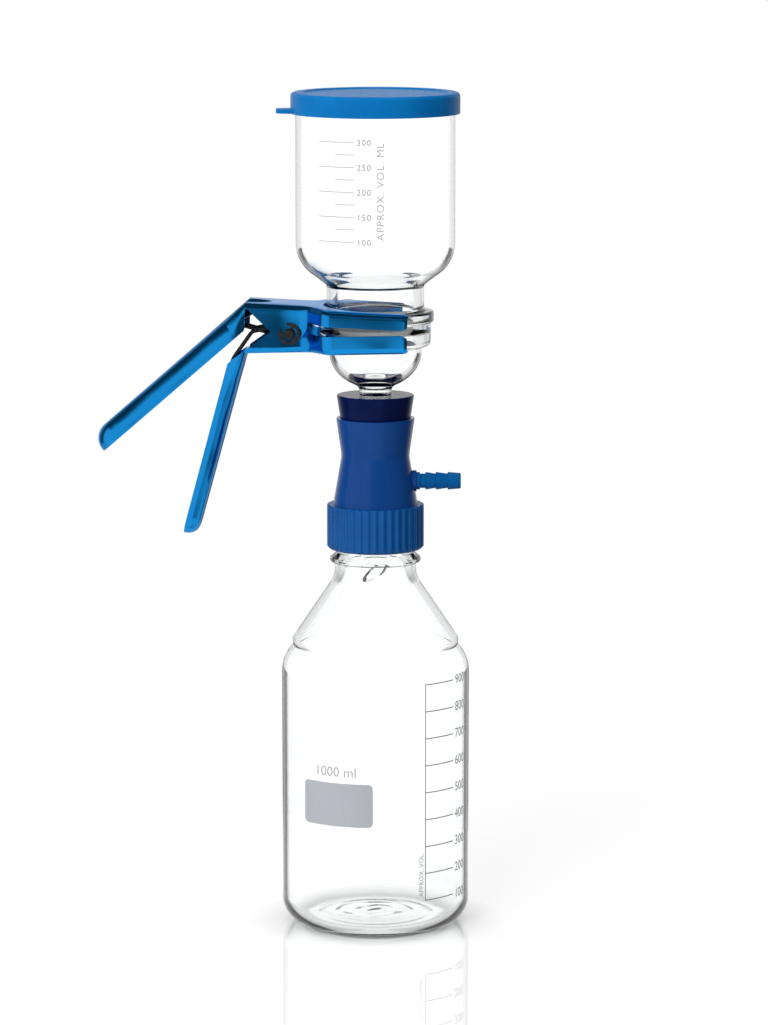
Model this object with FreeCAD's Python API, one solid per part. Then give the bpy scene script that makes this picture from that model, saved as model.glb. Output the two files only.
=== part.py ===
"""Vacuum filtration unit: a graduated glass funnel clamped on a fritted glass base, standing
in a stopper and a hose adapter that is screwed on a one litre bottle.

Millimetres, +Z up.  The origin is the centre of the bottle's standing ring.  +X is the side of
the hose nozzle and -X the side of the clamp's handles.
"""
import FreeCAD
import Part
import math
import os

from FreeCAD import Vector

os.makedirs("parts", exist_ok=True)

# ---------------------------------------------------------------- bottle
BOTTLE_RADIUS = 50.5
BOTTLE_WALL = 2.3
BOTTLE_HEIGHT = 225.0          # top of the rim
BODY_TOP = BOTTLE_HEIGHT - 87.0        # where the cylinder ends
HEEL_RADIUS = 16.0             # corner between wall and base
STANDING_RING_WIDTH = 3.0      # flat ring that the bottle stands on, inside the heel
PUSH_UP = 3.5                  # rise of the base inside that ring
BASE_THICKNESS = 3.6
SHOULDER_Z = BOTTLE_HEIGHT - 67.9      # top of the ring where the cone meets the shoulder
SHOULDER_RADIUS = 44.0         # foot of the cone
SHOULDER_RING_HEIGHT = 4.2
SHOULDER_RING_STAND_OUT = 0.8
SHOULDER_BLEND = 4.0           # inside, between shoulder and cone
CONE_WALL = 3.9
NECK_RADIUS = 21.8
CONE_TOP_Z = BOTTLE_HEIGHT - 34.6      # where the cone's line meets the neck's
NECK_BLEND = 16.0              # outside rounding between cone and neck
BORE_BLEND = 24.0              # inside rounding between them
FINISH_ROOT_RADIUS = 21.0      # threaded neck, at the root of its thread
FINISH_BORE = 15.2
RIM_ROUND = 1.2
BEAD_RADIUS = 24.4
BEAD_BOTTOM = BOTTLE_HEIGHT - 27.1
BEAD_CREST = BOTTLE_HEIGHT - 24.8      # where its outside starts to slope in
BEAD_TOP = BOTTLE_HEIGHT - 22.1
BEAD_ROUND = 1.1

# ---------------------------------------------------------------- adapter, gasket, nozzle
THREAD_MAJOR_RADIUS = 22.4     # crest of the bottle's thread
SKIRT_CLEARANCE = 0.45         # from that crest to the skirt's bore
SKIRT_RADIUS = 26.1            # over the ribs
SKIRT_BOTTOM = BOTTLE_HEIGHT - 20.0
LEDGE_THICKNESS = 2.3          # skirt's roof, above the gasket
SKIRT_CHAMFER = 0.9
RIB_COUNT = 38
RIB_DEPTH = 0.75
RIB_SHARE = 0.72               # of the pitch that a rib's width takes
GASKET_THICKNESS = 1.8
GASKET_RADIUS = 20.6
GASKET_BORE = 16.4
ADAPTER_FOOT_RADIUS = 22.7
WAIST_RADIUS = 18.15
WAIST_Z = BOTTLE_HEIGHT + 30.6
MOUTH_RADIUS = 21.05
MOUTH_Z = BOTTLE_HEIGHT + 50.8
FOOT_WALL = 3.7                # thicker wall where the adapter meets its skirt
RELIEF = 0.3                   # step of the bore under the stopper
BORE_FOOT = 8.0                # height over the ledge where the bore starts to close in
BLEND_RADIUS = 14.0            # softens the adapter's waist
NOZZLE_Z = BOTTLE_HEIGHT + 16.5
NOZZLE_BOSS_RADIUS = 5.7
NOZZLE_BOSS_END = 22.2         # distance of the boss's face from the bottle's axis
NOZZLE_COLLAR_RADIUS = 4.7
NOZZLE_COLLAR_LENGTH = 1.7
NOZZLE_CORE_RADIUS = 3.9
NOZZLE_BARB_RADIUS = 4.75
NOZZLE_BORE = 2.4
NOZZLE_SPIGOT_RADIUS = 3.3
NOZZLE_SPIGOT_LENGTH = 4.6
BARB_PEAKS = (27.0, 32.6, 39.0)
BARB_BACK = 0.35               # length of a barb's steep side
BARB_END_RADIUS = 4.2          # of the last barb at its end
NOZZLE_TIP_CHAMFER = 0.4
NOZZLE_TIP = 45.9

# ---------------------------------------------------------------- stopper
STOPPER_TOP_RADIUS = 20.8
STOPPER_TAPER = 0.157          # fall of the radius for each mm of height
STOPPER_HEIGHT = 30.0
STOPPER_STAND_OUT = 12.5       # height above the adapter's mouth
STOPPER_EDGE = 0.6

# ---------------------------------------------------------------- filter base and frit
BULB_BOTTOM_Z = MOUTH_Z + 15.8
STEM_RADIUS = 8.55
STEM_BORE = 5.6
STEM_TIP_RADIUS = 6.8
STEM_TIP_BORE = 4.7
STEM_DRAW_Z = BULB_BOTTOM_Z - 84.6     # where the stem starts to narrow
STEM_TIP_Z = BULB_BOTTOM_Z - 104.4
STEM_BEVEL = 42.0              # degrees
STEM_TURN = 40.0               # of the bevel about Z: its open side faces +X and -Y
STEM_BLEND = 2.4               # outside rounding between bulb and stem
STEM_BORE_BLEND = 1.6
BULB_RADIUS = 24.8
BULB_DEPTH = 20.5
BULB_WALL = 3.0
BULB_FLOOR = 3.8               # thickness of glass under the bulb's inside
BASE_FLANGE_RADIUS = 29.65
BASE_FLANGE_THICKNESS = 12.9
BASE_FLANGE_CORNER = 2.8
BASE_FLANGE_EDGE = 0.6
BULB_FILLET = 1.0              # between the bulb and its flange
JOINT_Z = BULB_BOTTOM_Z + 36.1         # ground faces of the two flanges
FRIT_RADIUS = 20.0
FRIT_THICKNESS = 3.4
FRIT_LEDGE = 3.0               # height of the slope that carries the disc

# ---------------------------------------------------------------- funnel and lid
FUNNEL_FLANGE_RADIUS = 31.25
FUNNEL_FLANGE_THICKNESS = 6.1
FUNNEL_FLANGE_EDGE = 1.4
FUNNEL_NECK_RADIUS = 26.05
FUNNEL_NECK_BORE = 20.6
NECK_FILLET = 2.0
BOWL_RADIUS = 42.6
BOWL_WALL = 2.8
BOWL_CURVE = 20.0
BOWL_CONE_ANGLE = 37.0         # of the bowl's floor above the horizontal
BOWL_FLOOR_Z = JOINT_Z + 19.9          # outside, where the floor meets the neck
BOWL_RIM_Z = JOINT_Z + 120.3
BOWL_RIM_ROUND = 0.9
LID_CLEARANCE = 0.35
LID_WALL = 2.2
LID_ROOF = 2.2
LID_SKIRT = 9.0
LID_EDGE = 2.2
LID_TAB_REACH = 52.9
LID_TAB_HALF_WIDTH = 6.5
LID_TAB_THICKNESS = 2.4
LID_RECESS_DEPTH = 0.7
LID_RECESS_BAND = 5.0

# ---------------------------------------------------------------- clamp, in its own frame
# x runs from the handles to the jaw tips, y along the pivot, z up from the pivot's axis
CLAMP_YAW = -4.0               # degrees about Z, tips towards -Y
PIVOT_X = -FUNNEL_FLANGE_RADIUS - 13.35
PIVOT_DROP = 4.9               # of the pivot below the ground faces
SHEET = 1.2
UPPER_TILT = 2.6               # degrees, rear end up
LOWER_TILT = 1.5               # degrees, rear end down
EAR_HALF_WIDTH = 17.5          # outside of the upper half's ears
EAR_GAP = 0.3                  # between the upper half's ears and the lower half's
JAW_GAP = 0.8                  # between a flange's rim and the wall of the jaw around it
GRIP_SET_BACK = 3.8184         # of the grip from where the fork's arms leave the flange
GRIP_GAP = 0.1
SLOT_GAP = 0.45                # between the glass and the slot of the fork
REAR_X = PIVOT_X - 24.5
FLARE_X = PIVOT_X + 5.2
FLARE_ANGLE = 57.0
FLARE_BEND = 6.2
TIP_X = FUNNEL_FLANGE_RADIUS - 11.25
TIP_CORNER = 4.2
FOLD_RADIUS = 3.4
UPPER_JAW_WALL = 8.4
LOWER_JAW_WALL = 10.0
JAW_TIP_ROUND = 7.0            # of a wall's free corner at the tip
EAR_ROUND = 6.4                # round of the ears about the pivot
EAR_REACH = 11.5               # from the pivot to where the ears meet the jaw's walls
REAR_WALL = 1.8                # height at the rear end that the ears' edge runs down to
PIN_RADIUS = 2.85
PIN_CLEARANCE = 0.06
PIN_STAND_OUT = 2.2
CLIP_RADIUS = 5.9
CLIP_THICKNESS = 0.9
CLIP_GROOVE_RADIUS = 2.0
CLIP_SET_BACK = 0.25
CLIP_PLAY = 0.05               # each side of a clip in its groove
CLIP_WIDTH = 1.6
CLIP_PRONGS = ((180, 2.2), (62, 1.6), (-62, 1.6))   # angle from the mouth, width
CLIP_TURN = 130.0              # of the mouth, from the jaws' side upwards
PIN_CHAMFER = 0.5
BEND_FILLET = 0.9
LIP_START = 0.5                # of the sweep where the lower handle's sides start, past its sheet
LIP_RISE = 11.8                # height of that sweep over the crown at its end
LIP_LENGTH = 16.0
LIP_MIDDLE_RISE = 0.44         # height of its middle as a share of its end's
LIP_MIDDLE_RUN = 0.264         # and its length there
BEND_OVERLAP = 0.1
HANDLE_BLEND = 16.0            # length over which the fold becomes that rounding
UPPER_HANDLE_ANGLE = 41.0      # below the horizontal
UPPER_HANDLE_LENGTH = 113.0
UPPER_HANDLE_DEPTH = 10.6
UPPER_HANDLE_CORNER = 9.6      # rounding between crown and sides
LOWER_HANDLE_ANGLE = 74.8
LOWER_HANDLE_LENGTH = 104.5
LOWER_HANDLE_DEPTH = 7.6
LOWER_HANDLE_CORNER = 6.8
HANDLE_TAPER = 0.76            # width at the tip as a share of the width at the bend
HANDLE_INSET = 0.8             # each side of a handle, inside the ears' outer faces
GROOVE_RADIUS = 9.0            # pressed groove that stiffens the upper half's bend
GROOVE_ON_PLATE = 13.0
GROOVE_ON_HANDLE = 32.0

# ---------------------------------------------------------------- torsion spring
WIRE_RADIUS = 0.95
COIL_GAP = 0.5                 # between the pin and the coil
COIL_INNER_Y = 4.2
COIL_TURNS = 2                 # whole turns of each coil, before its legs part
COIL_PITCH = 2.2
UPPER_LEG_TURN = -105.0        # where the upper leg leaves the coil, in degrees
UPPER_LEG_LENGTH = 23.6
LOWER_LEG_TURN = 102.0
LOWER_LEG_RUN = 20.5
LOWER_LEG_BEND = 5.0
LOWER_LEG_KNEE_BEND = 14.0
KNEE_X, KNEE_Z = -31.5, -15.0  # knee and end of the lower leg, from the pivot
END_X, END_Z = -35.8, -40.9
ARCS_PER_TURN = 6


# ---------------------------------------------------------------- helpers
def point(x, z):
    return Vector(x, 0, z)


def line(start, end):
    return Part.LineSegment(start, end).toShape()


def arc_about(centre, radius, start, end, plane="xz"):
    """Arc from one angle to another, in degrees, counted from +x."""
    def at(angle):
        turn = math.radians(angle)
        across, up = radius * math.cos(turn), radius * math.sin(turn)
        return centre + (Vector(across, 0, up) if plane == "xz" else Vector(across, up, 0))
    return Part.Arc(at(start), at((start + end) / 2.0), at(end)).toShape()


def polygon(points):
    return Part.makePolygon(points + [points[0]])


def revolve(edges):
    """Solid turned about Z from a closed profile in the xz plane."""
    face = Part.Face(Part.Wire(Part.sortEdges(edges)[0]))
    return face.revolve(Vector(0, 0, 0), Vector(0, 0, 1), 360)


def open_chain(*items):
    """Edges of a run of points and arcs, in order, joined by straight lines."""
    edges = []
    ends = []
    for item in items:
        if isinstance(item, Vector):
            ends.append((item, item))
            continue
        start = item.valueAt(item.FirstParameter)
        end = item.valueAt(item.LastParameter)
        if ends and ends[-1][1].distanceToPoint(end) < ends[-1][1].distanceToPoint(start):
            start, end = end, start
        ends.append((start, end))
        edges.append(item)
    for (_, here), (there, _) in zip(ends, ends[1:]):
        if here.distanceToPoint(there) > 1e-6:
            edges.append(line(here, there))
    return edges


def chain(*items):
    """Edges of a closed profile; its first item is a point."""
    return open_chain(*(items + (items[0],)))


def dome(edge_radius, edge_z, rise):
    """Arc from the axis out to an edge, level at the axis."""
    radius = (edge_radius ** 2 + rise ** 2) / (2.0 * rise)
    half_turn = math.asin(edge_radius / radius) / 2.0
    middle = point(radius * math.sin(half_turn),
                   edge_z + rise - radius * (1.0 - math.cos(half_turn)))
    return Part.Arc(point(0, edge_z + rise), middle, point(edge_radius, edge_z)).toShape()


def rounded(corner, before, after, radius):
    """Arc that rounds a profile's corner, given the points before and after it."""
    into = (before - corner).normalize()
    out = (after - corner).normalize()
    half = into.getAngle(out) / 2.0
    reach = radius / math.tan(half)
    middle = (into + out).normalize()
    centre = corner + middle * (radius / math.sin(half))
    return Part.Arc(corner + into * reach, centre - middle * radius, corner + out * reach).toShape()


def cylinder(radius, height, base, axis=Vector(0, 0, 1)):
    return Part.makeCylinder(radius, height, base, axis)


def prism(wire, direction):
    return Part.Face(wire).extrude(direction)


def only_solid(shape):
    """The one solid of a finished boolean, without seams left by joined faces."""
    shape = shape.removeSplitter()
    return shape.Solids[0] if len(shape.Solids) == 1 else shape


# ---------------------------------------------------------------- bottle
def shoulder(wall):
    """Arc of the shoulder, tangent to the body, from there up to the ring, inset by a wall."""
    rise = SHOULDER_Z - SHOULDER_RING_HEIGHT - BODY_TOP
    pull = BOTTLE_RADIUS - SHOULDER_RADIUS
    radius = (rise ** 2 + pull ** 2) / (2.0 * pull)
    end = math.degrees(math.asin(rise / radius))
    return arc_about(point(BOTTLE_RADIUS - radius, BODY_TOP), radius - wall, 0, end)


def bottle():
    body_inner = BOTTLE_RADIUS - BOTTLE_WALL
    ring_outer = BOTTLE_RADIUS - HEEL_RADIUS
    ring_inner = ring_outer - STANDING_RING_WIDTH
    heel_inner = HEEL_RADIUS - BOTTLE_WALL
    cone_end = point(SHOULDER_RADIUS, SHOULDER_Z)
    cone_top = point(NECK_RADIUS, CONE_TOP_Z)
    slope = (cone_end - cone_top).normalize()
    inward = point(slope.z, -slope.x)
    ring_middle = SHOULDER_Z - SHOULDER_RING_HEIGHT / 2.0
    ring = Part.Arc(
        point(SHOULDER_RADIUS, SHOULDER_Z - SHOULDER_RING_HEIGHT),
        point(SHOULDER_RADIUS + SHOULDER_RING_STAND_OUT, ring_middle), cone_end).toShape()
    outer = [
        point(ring_outer, 0),
        arc_about(point(ring_outer, HEEL_RADIUS), HEEL_RADIUS, 270, 360),
        shoulder(0.0),
        ring,
        rounded(cone_top, cone_end, point(NECK_RADIUS, BEAD_BOTTOM), NECK_BLEND),
        point(NECK_RADIUS, BEAD_BOTTOM),
        rounded(point(BEAD_RADIUS, BEAD_BOTTOM), point(NECK_RADIUS, BEAD_BOTTOM),
                point(BEAD_RADIUS, BEAD_CREST), BEAD_ROUND),
        rounded(point(BEAD_RADIUS, BEAD_CREST), point(BEAD_RADIUS, BEAD_BOTTOM),
                point(FINISH_ROOT_RADIUS, BEAD_TOP), BEAD_ROUND),
        point(FINISH_ROOT_RADIUS, BEAD_TOP),
        rounded(point(FINISH_ROOT_RADIUS, BOTTLE_HEIGHT), point(FINISH_ROOT_RADIUS, BEAD_TOP),
                point(FINISH_BORE, BOTTLE_HEIGHT), RIM_ROUND),
    ]
    cone_end_inner = cone_end + inward * CONE_WALL
    run_up = (cone_end_inner.x - FINISH_BORE) / slope.x
    bore_foot = cone_end_inner - slope * run_up
    inner_shoulder = shoulder(BOTTLE_WALL)
    shoulder_end = inner_shoulder.valueAt(inner_shoulder.LastParameter)
    inner = [
        rounded(point(FINISH_BORE, BOTTLE_HEIGHT), point(FINISH_ROOT_RADIUS, BOTTLE_HEIGHT),
                bore_foot, RIM_ROUND),
        rounded(bore_foot, point(FINISH_BORE, BOTTLE_HEIGHT), cone_end_inner, BORE_BLEND),
        rounded(cone_end_inner, bore_foot, shoulder_end, SHOULDER_BLEND),
        inner_shoulder,
        arc_about(point(body_inner - heel_inner, BASE_THICKNESS + heel_inner), heel_inner, 360, 270),
        dome(ring_inner, BASE_THICKNESS, PUSH_UP),
        dome(ring_inner, 0.0, PUSH_UP),
    ]
    return revolve(chain(*(outer + inner)))


# ---------------------------------------------------------------- gasket, adapter, nozzle
LEDGE_Z = BOTTLE_HEIGHT + GASKET_THICKNESS
SKIRT_TOP = LEDGE_Z + LEDGE_THICKNESS
SKIRT_BORE = THREAD_MAJOR_RADIUS + SKIRT_CLEARANCE
STOPPER_TOP_Z = MOUTH_Z + STOPPER_STAND_OUT
STOPPER_BOTTOM_Z = STOPPER_TOP_Z - STOPPER_HEIGHT


def stopper_radius(z):
    return STOPPER_TOP_RADIUS - STOPPER_TAPER * (STOPPER_TOP_Z - z)


def rim_gasket():
    ring = cylinder(GASKET_RADIUS, GASKET_THICKNESS, Vector(0, 0, BOTTLE_HEIGHT))
    return ring.cut(cylinder(GASKET_BORE, GASKET_THICKNESS, Vector(0, 0, BOTTLE_HEIGHT)))


def adapter():
    foot = point(ADAPTER_FOOT_RADIUS, SKIRT_TOP)
    waist = point(WAIST_RADIUS, WAIST_Z)
    mouth = point(MOUTH_RADIUS, MOUTH_Z)
    skirt_core = SKIRT_RADIUS - RIB_DEPTH
    foot_bore = ADAPTER_FOOT_RADIUS - FOOT_WALL
    waist_bore = stopper_radius(STOPPER_BOTTOM_Z) - RELIEF
    body = revolve(chain(
        point(SKIRT_BORE, SKIRT_BOTTOM),
        point(skirt_core - SKIRT_CHAMFER, SKIRT_BOTTOM),
        point(skirt_core, SKIRT_BOTTOM + SKIRT_CHAMFER),
        point(skirt_core, SKIRT_TOP),
        foot,
        rounded(waist, foot, mouth, BLEND_RADIUS),
        mouth,
        point(stopper_radius(MOUTH_Z), MOUTH_Z),
        point(stopper_radius(STOPPER_BOTTOM_Z), STOPPER_BOTTOM_Z),
        point(waist_bore, STOPPER_BOTTOM_Z - RELIEF),
        point(waist_bore, WAIST_Z - BORE_FOOT / 2.0),
        point(foot_bore, LEDGE_Z + BORE_FOOT),
        point(GASKET_BORE, LEDGE_Z + LEDGE_THICKNESS),
        point(GASKET_BORE, LEDGE_Z),
        point(SKIRT_BORE, LEDGE_Z),
    ))
    boss = cylinder(NOZZLE_BOSS_RADIUS, NOZZLE_BOSS_END - WAIST_RADIUS,
                    Vector(WAIST_RADIUS, 0, NOZZLE_Z), Vector(1, 0, 0))
    seat = cylinder(NOZZLE_SPIGOT_RADIUS, NOZZLE_BOSS_END, Vector(0, 0, NOZZLE_Z), Vector(1, 0, 0))
    shell = body.fuse(boss).cut(seat)

    rib_round = RIB_SHARE * math.pi * SKIRT_RADIUS / RIB_COUNT
    rib_z = SKIRT_BOTTOM + SKIRT_CHAMFER
    ribs = []
    for index in range(RIB_COUNT):
        angle = 360.0 * index / RIB_COUNT
        rib = cylinder(rib_round, SKIRT_TOP - rib_z, Vector(SKIRT_RADIUS - rib_round, 0, rib_z))
        rib.rotate(Vector(0, 0, 0), Vector(0, 0, 1), angle)
        ribs.append(rib)
    inside = cylinder(skirt_core - RIB_DEPTH / 2.0, SKIRT_TOP - rib_z, Vector(0, 0, rib_z))
    ribs = [rib.cut(inside) for rib in ribs]
    return only_solid(shell.fuse(ribs))


def hose_nozzle():
    """Barbed nozzle, turned about +X: its spigot is pressed into the adapter's boss."""
    spigot_start = NOZZLE_BOSS_END - NOZZLE_SPIGOT_LENGTH
    collar_end = NOZZLE_BOSS_END + NOZZLE_COLLAR_LENGTH
    profile = [
        point(spigot_start, NOZZLE_BORE),
        point(spigot_start, NOZZLE_SPIGOT_RADIUS),
        point(NOZZLE_BOSS_END, NOZZLE_SPIGOT_RADIUS),
        point(NOZZLE_BOSS_END, NOZZLE_COLLAR_RADIUS),
        point(collar_end, NOZZLE_COLLAR_RADIUS),
        point(collar_end, NOZZLE_CORE_RADIUS),
    ]
    for peak, after in zip(BARB_PEAKS, BARB_PEAKS[1:]):
        profile.append(point(peak - BARB_BACK, NOZZLE_CORE_RADIUS))
        profile.append(point(peak, NOZZLE_BARB_RADIUS))
        profile.append(point(after - BARB_BACK, NOZZLE_CORE_RADIUS))
    profile.append(point(BARB_PEAKS[-1], NOZZLE_BARB_RADIUS))
    profile.append(point(NOZZLE_TIP - NOZZLE_TIP_CHAMFER, BARB_END_RADIUS))
    profile.append(point(NOZZLE_TIP, BARB_END_RADIUS - NOZZLE_TIP_CHAMFER))
    profile.append(point(NOZZLE_TIP, NOZZLE_BORE))
    face = Part.Face(polygon(dedupe(profile)))
    turned = face.revolve(Vector(0, 0, 0), Vector(1, 0, 0), 360)
    turned.translate(Vector(0, 0, NOZZLE_Z))
    return turned


def dedupe(points):
    kept = [points[0]]
    for item in points[1:]:
        if item.distanceToPoint(kept[-1]) > 1e-6:
            kept.append(item)
    return kept


# ---------------------------------------------------------------- stopper
def stopper():
    top = point(STOPPER_TOP_RADIUS, STOPPER_TOP_Z)
    bottom = point(stopper_radius(STOPPER_BOTTOM_Z), STOPPER_BOTTOM_Z)
    return revolve(chain(
        point(STEM_RADIUS, STOPPER_BOTTOM_Z),
        rounded(bottom, point(STEM_RADIUS, STOPPER_BOTTOM_Z), top, STOPPER_EDGE),
        rounded(top, bottom, point(STEM_RADIUS, STOPPER_TOP_Z), STOPPER_EDGE),
        point(STEM_RADIUS, STOPPER_TOP_Z),
    ))


# ---------------------------------------------------------------- filter base and frit
def bulb_wall(radius, depth, centre_z, stem, blend):
    """Elliptic floor of the bulb from its equator and the fillet that leads into the stem."""
    edge = stem + blend
    height = math.sqrt(1.0 - (edge / radius) ** 2)
    end = point(edge, centre_z - depth * height)
    slope = math.atan(depth * edge / (radius ** 2 * height))
    corner = point(stem, end.z - blend * math.tan(slope))
    reach = blend / math.cos(slope)
    fillet = rounded(corner, end, corner - point(0, 1), reach * math.tan(math.pi / 4 + slope / 2))

    frame = Part.Ellipse(point(radius, centre_z), point(0, centre_z - depth), point(0, centre_z))
    low, high = sorted((frame.parameter(point(radius, centre_z)), frame.parameter(end)))
    if high - low > math.pi:
        low, high = high, low + 2.0 * math.pi
    return Part.ArcOfEllipse(frame, low, high).toShape(), fillet


def funnel_base():
    flange_bottom = JOINT_Z - BASE_FLANGE_THICKNESS
    centre_z = BULB_BOTTOM_Z + BULB_DEPTH
    inner_radius = BULB_RADIUS - BULB_WALL
    frit_floor = JOINT_Z - FRIT_THICKNESS
    bulb, foot = bulb_wall(BULB_RADIUS, BULB_DEPTH, centre_z, STEM_RADIUS, STEM_BLEND)
    inner_bulb, inner_foot = bulb_wall(inner_radius, BULB_DEPTH - BULB_FLOOR, centre_z, STEM_BORE,
                                       STEM_BORE_BLEND)
    body = revolve(chain(
        point(FRIT_RADIUS, JOINT_Z),
        point(BASE_FLANGE_RADIUS - BASE_FLANGE_EDGE, JOINT_Z),
        point(BASE_FLANGE_RADIUS, JOINT_Z - BASE_FLANGE_EDGE),
        rounded(point(BASE_FLANGE_RADIUS, flange_bottom), point(BASE_FLANGE_RADIUS, JOINT_Z),
                point(BULB_RADIUS, flange_bottom), BASE_FLANGE_CORNER),
        rounded(point(BULB_RADIUS, flange_bottom), point(BASE_FLANGE_RADIUS, flange_bottom),
                point(BULB_RADIUS, centre_z), BULB_FILLET),
        bulb,
        foot,
        point(STEM_RADIUS, STEM_DRAW_Z),
        point(STEM_TIP_RADIUS, STEM_TIP_Z),
        point(STEM_TIP_BORE, STEM_TIP_Z),
        point(STEM_BORE, STEM_DRAW_Z),
        inner_foot,
        inner_bulb,
        point(inner_radius, frit_floor - FRIT_LEDGE),
        point(FRIT_RADIUS, frit_floor),
    ))
    block = 8.0 * STEM_TIP_RADIUS
    cutter = Part.makeBox(block, block, block, Vector(-block / 2.0, -block / 2.0, -block))
    cutter.rotate(Vector(0, 0, 0), Vector(0, 1, 0), -STEM_BEVEL)
    cutter.translate(point(-STEM_TIP_RADIUS, STEM_TIP_Z))
    cutter.rotate(Vector(0, 0, 0), Vector(0, 0, 1), -STEM_TURN)
    return only_solid(body.cut(cutter))


def fritted_disc():
    return cylinder(FRIT_RADIUS, FRIT_THICKNESS, Vector(0, 0, JOINT_Z - FRIT_THICKNESS))


# ---------------------------------------------------------------- funnel
def bowl_profile(radius, curve, neck, floor_z):
    """Arc and cone of the bowl, from its wall down to its neck, as (arc, foot point)."""
    slope = math.radians(BOWL_CONE_ANGLE)
    sweep = 90.0 - BOWL_CONE_ANGLE
    foot = point(neck, floor_z)
    centre_x = radius - curve
    end_x = centre_x + curve * math.cos(math.radians(sweep))
    end_z = floor_z + (end_x - neck) * math.tan(slope)
    centre = point(centre_x, end_z + curve * math.sin(math.radians(sweep)))
    return arc_about(centre, curve, 0, -sweep), foot


def funnel():
    flange_top = JOINT_Z + FUNNEL_FLANGE_THICKNESS
    wall_drop = BOWL_WALL / math.cos(math.radians(BOWL_CONE_ANGLE))
    neck_step = (FUNNEL_NECK_RADIUS - FUNNEL_NECK_BORE) * math.tan(math.radians(BOWL_CONE_ANGLE))
    outer_arc, outer_foot = bowl_profile(BOWL_RADIUS, BOWL_CURVE, FUNNEL_NECK_RADIUS, BOWL_FLOOR_Z)
    inner_arc, inner_foot = bowl_profile(BOWL_RADIUS - BOWL_WALL, BOWL_CURVE - BOWL_WALL,
                                         FUNNEL_NECK_BORE, BOWL_FLOOR_Z + wall_drop - neck_step)
    low_neck = point(FUNNEL_NECK_RADIUS, flange_top)
    profile = chain(
        point(FUNNEL_NECK_BORE, JOINT_Z),
        rounded(point(FUNNEL_FLANGE_RADIUS, JOINT_Z), point(FUNNEL_NECK_BORE, JOINT_Z),
                point(FUNNEL_FLANGE_RADIUS, flange_top), FUNNEL_FLANGE_EDGE),
        rounded(point(FUNNEL_FLANGE_RADIUS, flange_top), point(FUNNEL_FLANGE_RADIUS, JOINT_Z),
                low_neck, FUNNEL_FLANGE_EDGE),
        rounded(low_neck, point(FUNNEL_FLANGE_RADIUS, flange_top), outer_foot, NECK_FILLET),
        outer_foot,
        outer_arc,
        rounded(point(BOWL_RADIUS, BOWL_RIM_Z), point(BOWL_RADIUS, JOINT_Z),
                point(BOWL_RADIUS - BOWL_WALL, BOWL_RIM_Z), BOWL_RIM_ROUND),
        rounded(point(BOWL_RADIUS - BOWL_WALL, BOWL_RIM_Z), point(BOWL_RADIUS, BOWL_RIM_Z),
                point(BOWL_RADIUS - BOWL_WALL, JOINT_Z), BOWL_RIM_ROUND),
        inner_arc,
        inner_foot,
    )
    return revolve(profile)


def lid():
    bore = BOWL_RADIUS + LID_CLEARANCE
    radius = bore + LID_WALL
    top = BOWL_RIM_Z + LID_ROOF
    bottom = BOWL_RIM_Z - LID_SKIRT
    recess = bore - LID_RECESS_BAND
    cap = revolve(chain(
        point(0, BOWL_RIM_Z),
        point(bore, BOWL_RIM_Z),
        point(bore, bottom),
        point(radius, bottom),
        rounded(point(radius, top), point(radius, bottom), point(0, top), LID_EDGE),
        point(recess + LID_RECESS_DEPTH, top),
        point(recess, top - LID_RECESS_DEPTH),
        point(0, top - LID_RECESS_DEPTH),
    ))
    round_x = LID_TAB_REACH - LID_TAB_HALF_WIDTH
    outline = Part.Wire([
        line(Vector(0, -LID_TAB_HALF_WIDTH, bottom), Vector(0, LID_TAB_HALF_WIDTH, bottom)),
        line(Vector(0, LID_TAB_HALF_WIDTH, bottom), Vector(-round_x, LID_TAB_HALF_WIDTH, bottom)),
        arc_about(Vector(-round_x, 0, bottom), LID_TAB_HALF_WIDTH, 90, 270, "xy"),
        line(Vector(-round_x, -LID_TAB_HALF_WIDTH, bottom), Vector(0, -LID_TAB_HALF_WIDTH, bottom)),
    ])
    tab = prism(outline, Vector(0, 0, LID_TAB_THICKNESS))
    tab = tab.cut(cylinder(bore + LID_WALL / 2.0, LID_TAB_THICKNESS, Vector(0, 0, bottom)))
    return only_solid(cap.fuse(tab))


# ---------------------------------------------------------------- clamp
PIVOT_Z = JOINT_Z - PIVOT_DROP
PIVOT = point(PIVOT_X, PIVOT_Z)
FLANGE_TOP = JOINT_Z + FUNNEL_FLANGE_THICKNESS
FLANGE_BOTTOM = JOINT_Z - BASE_FLANGE_THICKNESS
LOWER_EAR_HALF_WIDTH = EAR_HALF_WIDTH - SHEET - EAR_GAP
SLOT_RADIUS = FUNNEL_NECK_RADIUS + NECK_FILLET + SLOT_GAP
ARM_LEAVES_X = math.sqrt(FUNNEL_FLANGE_RADIUS ** 2 - SLOT_RADIUS ** 2)
GRIP_REACH = min(TIP_X, ARM_LEAVES_X) - GRIP_SET_BACK - PIVOT_X


def level_height(z, tilt):
    """Height that a level face needs to lie at z over the grip after it is tilted."""
    turn = math.radians(tilt)
    return PIVOT_Z + (z - PIVOT_Z + GRIP_REACH * math.sin(turn)) / math.cos(turn)


UPPER_TOP = level_height(FLANGE_TOP + GRIP_GAP, UPPER_TILT) + SHEET
LOWER_BOTTOM = level_height(FLANGE_BOTTOM - GRIP_GAP, -LOWER_TILT) - SHEET


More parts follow.
